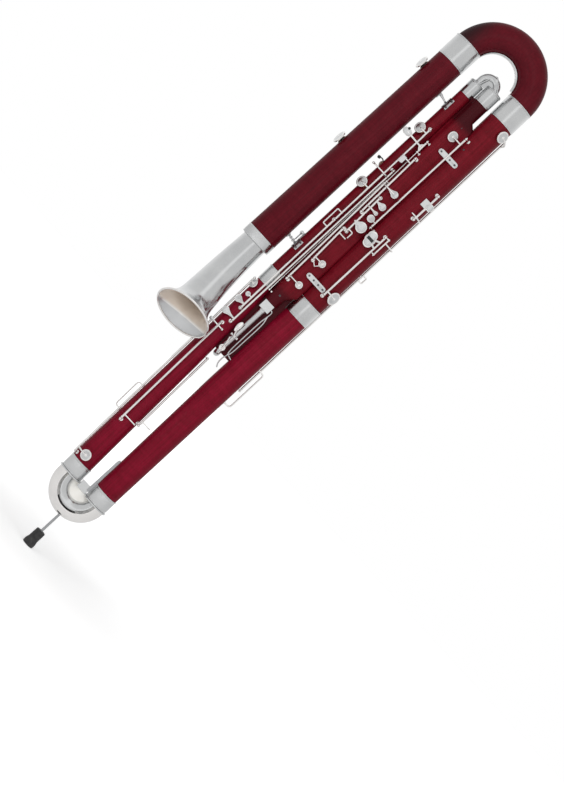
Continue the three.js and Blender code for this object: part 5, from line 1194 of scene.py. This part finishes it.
rail = rails["long_second"]
work = barrels(rail)
add_finger(work, rail, long, -0.9, 0.3931, pear(8, 16, 1), 7)
lever_end_x = bell_x + 45.6
end = Vector((lever_end_x, rail_ends(rail)[1].y - 6.5, at(0.7485)))
add_arm(work, rail, 0.7485, end, 6.5)
add_bead(work, end)
hang("long_second_key", rail, work)

rail = rails["wing_outer"]
stops = rail_stops(rail)
work, pads = barrels(rail, stops[:2]), bmesh.new()
add_finger(work, rail, wing, 0.82, 0.7365, pear(8, 14, -1), hop=1)
add_cup(work, pads, rail, "wing_small_low")
hang("first_finger_key", rail, work, pads, -7)

work = barrels(rail, stops[2:])
start = on_rail(rail, at(0.8258))
end = Vector((lever_end_x, start.y - 3.25, at(0.827)))
drawn(work, [start, end], 2.4, 16)
for rise in (-9, 9):
    drawn(work, [on_rail(rail, start.z + rise), start.lerp(end, 0.16)], 1.7, 12)
add_touch(work, [Vector((1.35 * place.x, place.y)) for place in pear(8.2, 0, 1)], end, 3.3, 0.4)
roller = bmesh.new()
turned(roller, [(1.2, -1.9), (2.6, -1.4), (2.9, 0), (2.6, 1.4), (1.2, 1.9)], end + Vector((-2, -2.6, 7)),
       forward, 28, 0.5)
finished(roller, "crossing_lever_roller", moulded_rubber, "crossing_lever", ())
hang("crossing_lever", rail, work)

rail = rails["wing_second"]
work = barrels(rail)
add_finger(work, rail, wing, 0.82, 0.6918, pear(4.5, 10, -1), hop=2)
block = on_rail(rail, at(0.7931)) + Vector((-18, -1, 0))
add_arm(work, rail, 0.7931, block)
for face in slab(work, [(block.x - 5, block.z - 15), (block.x + 5, block.z - 13), (block.x + 5, block.z + 3),
                        (block.x - 5, block.z + 3)], block.y - 2.5, block.y + 2.5, 1.2):
    face.material_index = 1
hang("second_finger_key", rail, work)

rail = rails["wing_low_pair"]
work, pads = barrels(rail), bmesh.new()
add_cup(work, pads, rail, "wing_small_high")
top = seat_of("wing_small_high") + Vector((0, -4.6, 0))
drawn(work, [on_rail(rail, 843), Vector((-21.5, top.y, 833.5)), top + Vector((0, 0, -5))], 1.5, 12)
link = on_rail(rail, 918.5)
drawn(work, [link, Vector((-19.8, link.y - 1.5, 918.5))], 1.7, 12)
hang("low_pair_key", rail, work, pads, -7)

rail = rails["wing_high_pair"]
work = barrels(rail)
add_finger(work, rail, wing, 0.8, 0.7073, pear(8, 9, -1))
add_finger(work, rail, wing, 0.82, 0.6575, pear(12, 8, -1))
link = on_rail(rail, 938)
corners = [link, link + Vector((11.5, 0, 0)), link + Vector((11.5, 0, -14.5))]
drawn(work, eased(corners, 2.4, steps=5), 1.7, 12)
hang("high_pair_key", rail, work)

rail = rails["large_inner"]
work, pads = barrels(rail), bmesh.new()
add_cup(work, pads, rail, "wing_high")
add_finger(work, rail, wing, 0.78, 0.6798, pear(8.4, 0, 1))
hang("large_inner_key", rail, work, pads, 8)

rail = rails["large_front"]
work, pads = barrels(rail), bmesh.new()
touch = on_rail(rail, at(0.6558)) + Vector((-19, -7, -1))
lobes = []
for turn in all_round(64):
    way = Vector((math.cos(turn), math.sin(turn)))
    reach = 12
    for middle in (Vector((-1.6, 8.4)), Vector((1.2, -8.0))):
        along = middle.dot(way)
        reach = max(reach, along + math.sqrt(max(10.4 ** 2 - middle.length_squared + along ** 2, 0)))
    lobes.append(way * reach)
add_touch(work, lobes, touch)
# A black slab of painted shade stands for the shadow of a slot in the touch
painted_slot_shade = bmesh.new()
slab(painted_slot_shade, oblong(touch.x - 8, touch.z - 3.2, touch.x + 7.5, touch.z + 3.6),
     touch.y - 2.3, touch.y + 0.2, 0.9)
finished(painted_slot_shade, "large_front_key_painted_slot_shade", moulded_rubber, "large_front_key", ())
for share, height in ((0.664, 6), (0.649, -5)):
    drawn(work, [on_rail(rail, at(share)), touch + Vector((9, 0.4, height))], [2.0, 2.9], 14)
add_cup(work, pads, rail, "large_mid", 0.542)
hang("large_front_key", rail, work, pads)

rail = rails["large_block"]
work = barrels(rail)
centre = on_rail(rail, at(0.7657))
square = centre + Vector((-8, 0, 0))
for face in slab(work, oblong(square.x - 6.5, square.z - 9, square.x + 6.5, square.z + 9),
                 square.y - 1.65, square.y + 1.65, 0.8):
    face.material_index = 1
add_touch(work, pear(8.4, 0, 1), centre + Vector((5, -3.4, 0)), 3.3, 0.5)
height = at(0.7385)
add_arm(work, rail, 0.7385, on_rail(rail, height) + Vector((-12, 0, 0)))
bowed(work, large, on_rail(rail, height), spot(large, 64, height - 3, radius_at(large, height) + 6), 1.7, 1.4)
hang("large_block_key", rail, work)

rail = rails["large_edge"]
work, pads = barrels(rail, side=1), bmesh.new()
add_cup(work, pads, rail, "large_high", 0.93)
height = 973
bar = spot(large, 24, height, radius_at(large, height) + 7)
bowed(work, large, on_rail(rail, height), bar)
drawn(work, [bar - Vector((0, 0, 35)), bar + Vector((0, 0, 11))], 1.9, 14)
for rise in (-33, 10):
    drawn(work, [bar + Vector((-4.5, 0, rise)), bar + Vector((1, 0, rise))], 1.7, 12)
hang("large_edge_key", rail, work, pads)

rail = rails["long_edge"]
work, pads = barrels(rail), bmesh.new()
for cup in ("long_foot", "long_middle"):
    add_cup(work, pads, rail, cup)
hang("long_edge_key", rail, work, pads, -10)

rail = rails["long_low_front"]
work = barrels(rail)
add_arm(work, rail, 0.1459, on_rail(rail, at(0.1459)) + Vector((30, 0, 0)))
middle = on_rail(rail, at(0.3657))
touch, end = middle + Vector((-21, 0.5, 0)), middle + Vector((12, 0, 0))
add_touch(work, pear(4.2, 7, 1), touch)
for place in (touch, end):
    add_arm(work, rail, 0.3657, place)
add_bead(work, end)
hang("long_low_front_key", rail, work)

rail = rails["long_inner"]
work = barrels(rail)
add_arm(work, rail, 0.1579, on_rail(rail, at(0.1579)) + Vector((21, 0, 0)))
hang("long_inner_key", rail, work)

rail = rails["bell_side"]
work, pads = barrels(rail), bmesh.new()
for cup in ("bell_low", "bell_high"):
    add_cup(work, pads, rail, cup)
hang("bell_side_key", rail, work, pads, -6)

rail = rails["long_back"]
work, pads = barrels(rail), bmesh.new()
touch = on_rail(rail, at(0.64)) + Vector((16, 7, 0))
add_cup(work, pads, rail, "thumb")
add_touch(work, pear(8, 8, -1), touch)
add_arm(work, rail, 0.64, touch)
hang("thumb_key", rail, work, pads)

# Water key
# A small sprung lever of silver-plated brass, pinned between two posts on the water slide. It has
# a pad over the vent and a long touch.
work, pads = bmesh.new(), bmesh.new()
turned(work, [(1.65, -2.7), (3.4, -2.7), (3.4, 2.7), (1.65, 2.7)], hinge, (1, 0, 0), 28, 0.4, closed=True)
vent = Vector((slide_x, -38.2, slide_low))
turned(work, [(6.4, 1.4), (7.3, 1.8), (7.3, 3.4), (6.6, 4.2), (5.4, 4.0), (3, 4.8), (1, 5.2)], vent,
       forward, 40, 0.3)
turned(pads, [(2, 0.3), (5.6, 0.1), (6.2, 0.6), (6.2, 2.4), (2, 2.4)], vent, forward, 32, 0.3)
root = hinge + Vector((0, -2.4, 0))
touch = root + Vector((-8.2, -1, 20.2))
drawn(work, smooth_way([root, root + Vector((0, 0, -17)), root + Vector((0, 3.4, -34))]), 1.7, 14)
drawn(work, smooth_way([root, root + Vector((-3.4, -1, 5.2)), touch]), 1.8, 14)
drawn(work, smooth_way([root + Vector(place) for place in (
    (-5, 0, -7.8), (-1, 0.5, -23.8), (3.4, 3.8, -47.8))]), [1.9 - 0.9 * i / 16 for i in range(17)], 14)
for side in (-1, 1):
    turned(work, [(1, 6.5), (2.9, 6.7), (3.3, 8), (2.9, 9.3), (1, 9.5)], hinge, (side, 0, 0), 24, 0.4)
paddle = []
for turn in all_round(40):
    rise = math.sin(turn)
    paddle.append(Vector(((5.4 + 1.3 * rise) * math.cos(turn), 12.5 * rise)))
add_touch(work, paddle, touch, 2.2, 0.5)
# The water key takes the lighter silver, a painted highlight
dressed(work, "water_key", painted_bright_silver, "water_key")
finished(pads, "water_key_pad", pad_leather, "water_key")

# Tie plates, struts and strap ring
# Screwed silver-plated plates hold the wing joint to the large joint. Two steel struts with curved
# saddles hold the bell joint off the long joint, and the strap ring hangs in the lower one's lug.
screws = []
for name, share in (("upper_tie_plate", 0.8464), ("lower_tie_plate", 0.5373)):
    height = at(share)
    left = spot(wing, 6, height, radius_at(wing, height) + fit_gap)
    crest = spot(large, -6, height, radius_at(large, height) + fit_gap)
    along = (crest - left).normalized()
    out = along.cross(up).normalized()
    middle = left + along * 32.25
    outline = []
    for turn in all_round(48):
        sideways = 19.75 if math.cos(turn) > 0 else -19.75
        outline.append((sideways + 6.25 * math.cos(turn), 6.25 * math.sin(turn)))
    work = bmesh.new()
    rings = []
    for share_in, depth in ((0.985, 0), (1, 0.3), (1, 1.5), (0.97, 2.0)):
        rings.append([middle + along * (x * share_in) + Vector((0, 0, z * share_in)) + out * depth
                      for x, z in outline])
    # The plate's face takes the plainer silver, so that its edge keeps the lighter silver as a painted
    # highlight
    skinned(work, rings)[-1].material_index = 1
    piece = dressed(work, name, painted_bright_silver, "body")
    piece.data.materials.append(silver_plate)
    screws += [(middle + along * x + out * 1.9, out)
               for x in ((-20, 5, 19.5) if name == "upper_tie_plate" else (-20, -6.7, 6.7, 20))]


def add_saddle(work, line, low, high, turn, spread):
    """A curved plate that hugs a tube over a spread of turns."""
    radius = max(radius_at(line, low), radius_at(line, high)) + fit_gap
    middle = centre_at(line, (low + high) / 2)
    count = 14
    rings = []
    for i in range(count + 1):
        way = facing(turn - spread + 2 * spread * i / count)
        base = Vector((middle.x, middle.y, 0)) + way * radius
        corners = eased([Vector(corner) for corner in oblong(0, low, 1.8, high)], 0.5, True)
        rings.append([base + way * corner.x + Vector((0, 0, corner.y)) for corner in corners])
    skinned(work, rings)


# Nickelled steel is a little greyer and duller than the silver plate beside it
nickelled_steel = plated_silver("nickelled_steel_plate", "#BFBFC0", "#D0D0D1", 0.2)
for name, share, half in (("upper_strut", 0.911, 13.5), ("lower_strut", 0.5588, 11.5)):
    height = at(share)
    work = bmesh.new()
    add_saddle(work, long, height - half, height + half, -62, 42)
    for rise in (5 - half, half - 5):
        screws.append((spot(long, -32, height + rise, radius_at(long, height) + 2.0), facing(-32)))
    add_saddle(work, bell_line, height - half / 2, height + half / 2, 90, 12)
    start = spot(long, -90, height - 1, radius_at(long, height) + 1.2)
    end = spot(bell_line, 90, height + (4 if half > 12 else 1), radius_at(bell_line, height) + 1.2)
    way = (end - start).normalized()
    reach = (end - start).length
    nuts = [(2, 2.6), (2.6, reach - 8), (3.6, reach - 3)] if half > 12 else [
        (2.3, 2.6), (2.3, reach * 0.22), (4.2, reach * 0.25), (4.2, reach * 0.38), (2.3, reach * 0.42),
        (2.3, reach * 0.6), (3.8, reach * 0.63), (3.8, reach * 0.72), (2.3, reach * 0.76), (2.3, reach - 2.6)]
    turned(work, [(4, 0.8), (3.2, 1.6)] + nuts + [(3.2, reach - 1.6), (4, reach - 0.8)], start, way, 28, 0.4)
    if name == "lower_strut":
        eye_height = at(0.578)
        eye = spot(long, -78, eye_height, radius_at(long, eye_height) + 6.5)
        add_saddle(work, long, height, eye_height + 4.4, -78, 12)
        turned(work, [(1.9, -1.3), (4.4, -1.3), (4.4, 1.3), (1.9, 1.3)], eye, -forward, 36, 0.5, closed=True)
        root = spot(long, -78, eye_height, radius_at(long, eye_height) + 1.2)
        drawn(work, [root, eye.lerp(root, 0.62)], 1.6, 16)
    dressed(work, name, nickelled_steel, "body")

work = bmesh.new()
ring_middle = eye + Vector((0, 0, -9.3))
loop = [ring_middle + Vector((0, 9 * math.cos(t), 9 * math.sin(t))) for t in all_round(48)]
drawn(work, loop, 1.25, 16, loop=True)
dressed(work, "strap_ring", ground_steel, "strap_ring")

# Guard wires
# Bent silver-plated wires that keep hands and clothes off the rods. Each stands on the wood with
# two feet, which go through small round plates.
for name, line, low, high, turn in (("large_guard_wire", large, 0.283, 0.364, 90),
                                    ("long_guard_wire", long, 0.144, 0.2, -90)):
    work = bmesh.new()
    bottom, top = at(low), at(high)
    corners = [spot(line, turn, bottom, radius_at(line, bottom) - 1),
               spot(line, turn, bottom, radius_at(line, bottom) + 14.8),
               spot(line, turn, top, radius_at(line, top) + 14.8),
               spot(line, turn, top, radius_at(line, top) - 1)]
    drawn(work, eased(corners, 9, steps=10), 1.7, 14)
    for height in (bottom, top):
        foot = spot(line, turn, height, radius_at(line, height))
        turned(work, [(4, -0.2), (4, 0.8), (3, 1.4), (1.4, 2)], foot, facing(turn), 24, 0.3)
    # Guard wires take the lighter silver, a painted highlight
    finished(work, name, painted_bright_silver, "body", ())

# A black bumper on a bent pin stops the lever between the long joint and the bell joint
work = bmesh.new()
foot = spot(long, -72, 1086, radius_at(long, 1086) - 1)
tip = Vector((-97.5, -29, 1087))
drawn(work, smooth_way([foot, foot.lerp(tip, 0.5) + Vector((0, 0, 3)), tip]), 1.3, 12)
turned(work, [(1.2, -3.6), (3.2, -3), (3.6, 0), (3.2, 3), (1.2, 3.6)], tip, (1, 0, 0.2), 28, 0.6)
finished(work, "lever_bumper", moulded_rubber, "body", ())

# Screws
# Slotted cheese-head screws of darkened steel hold the plates and saddles. Each stands as its
# thread went tight, so the slots point every way.
for x, height, line in ((-49.92, 1256.5, wing), (-23.92, 1251, wing), (10.4, 1224, large),
                        (-24.96, 740, wing), (-15.6, 756, wing)):
    reach = radius_at(line, height)
    turn = math.degrees(math.asin((x - centre_at(line, height).x) / reach))
    screws.append((spot(line, turn, height, reach - 0.2), facing(turn)))
screw_steel = plated_silver("darkened_screw_steel", "#56575A", "#717274", 0.3)
tree = bpy.data.node_groups.new("slotted_screws", "GeometryNodeTree")
tree.interface.new_socket("Places", in_out="INPUT", socket_type="NodeSocketGeometry")
for title in ("Head radius", "Head height", "Slot width"):
    tree.interface.new_socket(title, in_out="INPUT", socket_type="NodeSocketFloat")
tree.interface.new_socket("Screws", in_out="OUTPUT", socket_type="NodeSocketGeometry")
given = node(tree, "NodeGroupInput").outputs
head = node(tree, "GeometryNodeMeshCylinder", {"Vertices": 18, "Radius": given["Head radius"],
                                               "Depth": given["Head height"]})
length = node(tree, "ShaderNodeMath", {0: given["Head radius"], 1: 3.0}, operation="MULTIPLY")
slot_size = node(tree, "ShaderNodeCombineXYZ", {0: length.outputs[0], 1: given["Slot width"],
                                                2: given["Head height"]})
slot_rise = node(tree, "ShaderNodeMath", {0: given["Head height"], 1: 0.6}, operation="MULTIPLY")
cutter = node(tree, "GeometryNodeTransform", {
    "Geometry": node(tree, "GeometryNodeMeshCube", {"Size": slot_size.outputs[0]}).outputs["Mesh"],
    "Translation": node(tree, "ShaderNodeCombineXYZ", {2: slot_rise.outputs[0]}).outputs[0]})
slotted = node(tree, "GeometryNodeMeshBoolean", {0: head.outputs["Mesh"], 1: cutter.outputs[0]},
               operation="DIFFERENCE")
way = node(tree, "GeometryNodeInputNamedAttribute", {"Name": "way"}, data_type="FLOAT_VECTOR")
upright = node(tree, "FunctionNodeAlignRotationToVector", {"Vector": way.outputs[0]}, axis="Z")
chance = node(tree, "FunctionNodeRandomValue", {2: 0.0, 3: 6.28, "Seed": 7}, data_type="FLOAT")
spin = node(tree, "FunctionNodeAxisAngleToRotation", {"Axis": (0, 0, 1), "Angle": chance.outputs[1]})
turn = node(tree, "FunctionNodeRotateRotation", {
    "Rotation": upright.outputs[0], "Rotate By": spin.outputs[0]}, rotation_space="LOCAL")
placed = node(tree, "GeometryNodeInstanceOnPoints", {
    "Points": given["Places"], "Instance": slotted.outputs[0], "Rotation": turn.outputs[0]})
joined = node(tree, "GeometryNodeRealizeInstances", {0: placed.outputs[0]})
faced = node(tree, "GeometryNodeSetMaterial", {"Geometry": joined.outputs[0], "Material": screw_steel})
node(tree, "NodeGroupOutput", {0: faced.outputs[0]})
mesh = bpy.data.meshes.new("screws")
mesh.from_pydata([place / 1000 for place, _ in screws], [], [])
ways = mesh.attributes.new("way", "FLOAT_VECTOR", "POINT")
for i, (_, out) in enumerate(screws):
    ways.data[i].vector = out
piece = added("screws", mesh)
maker = piece.modifiers.new("screws", "NODES")
maker.node_group = tree
screw_sizes = {"Head radius": 0.0023, "Head height": 0.0014, "Slot width": 0.0007}
for socket in tree.interface.items_tree:
    if socket.in_out == "INPUT" and socket.name in screw_sizes:
        maker[socket.identifier] = screw_sizes[socket.name]
bpy.context.view_layer.update()
mesh = bpy.data.meshes.new_from_object(piece.evaluated_get(bpy.context.evaluated_depsgraph_get()))
piece.modifiers.clear()
piece.data = mesh
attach(piece, "body")

bpy.context.view_layer.update()
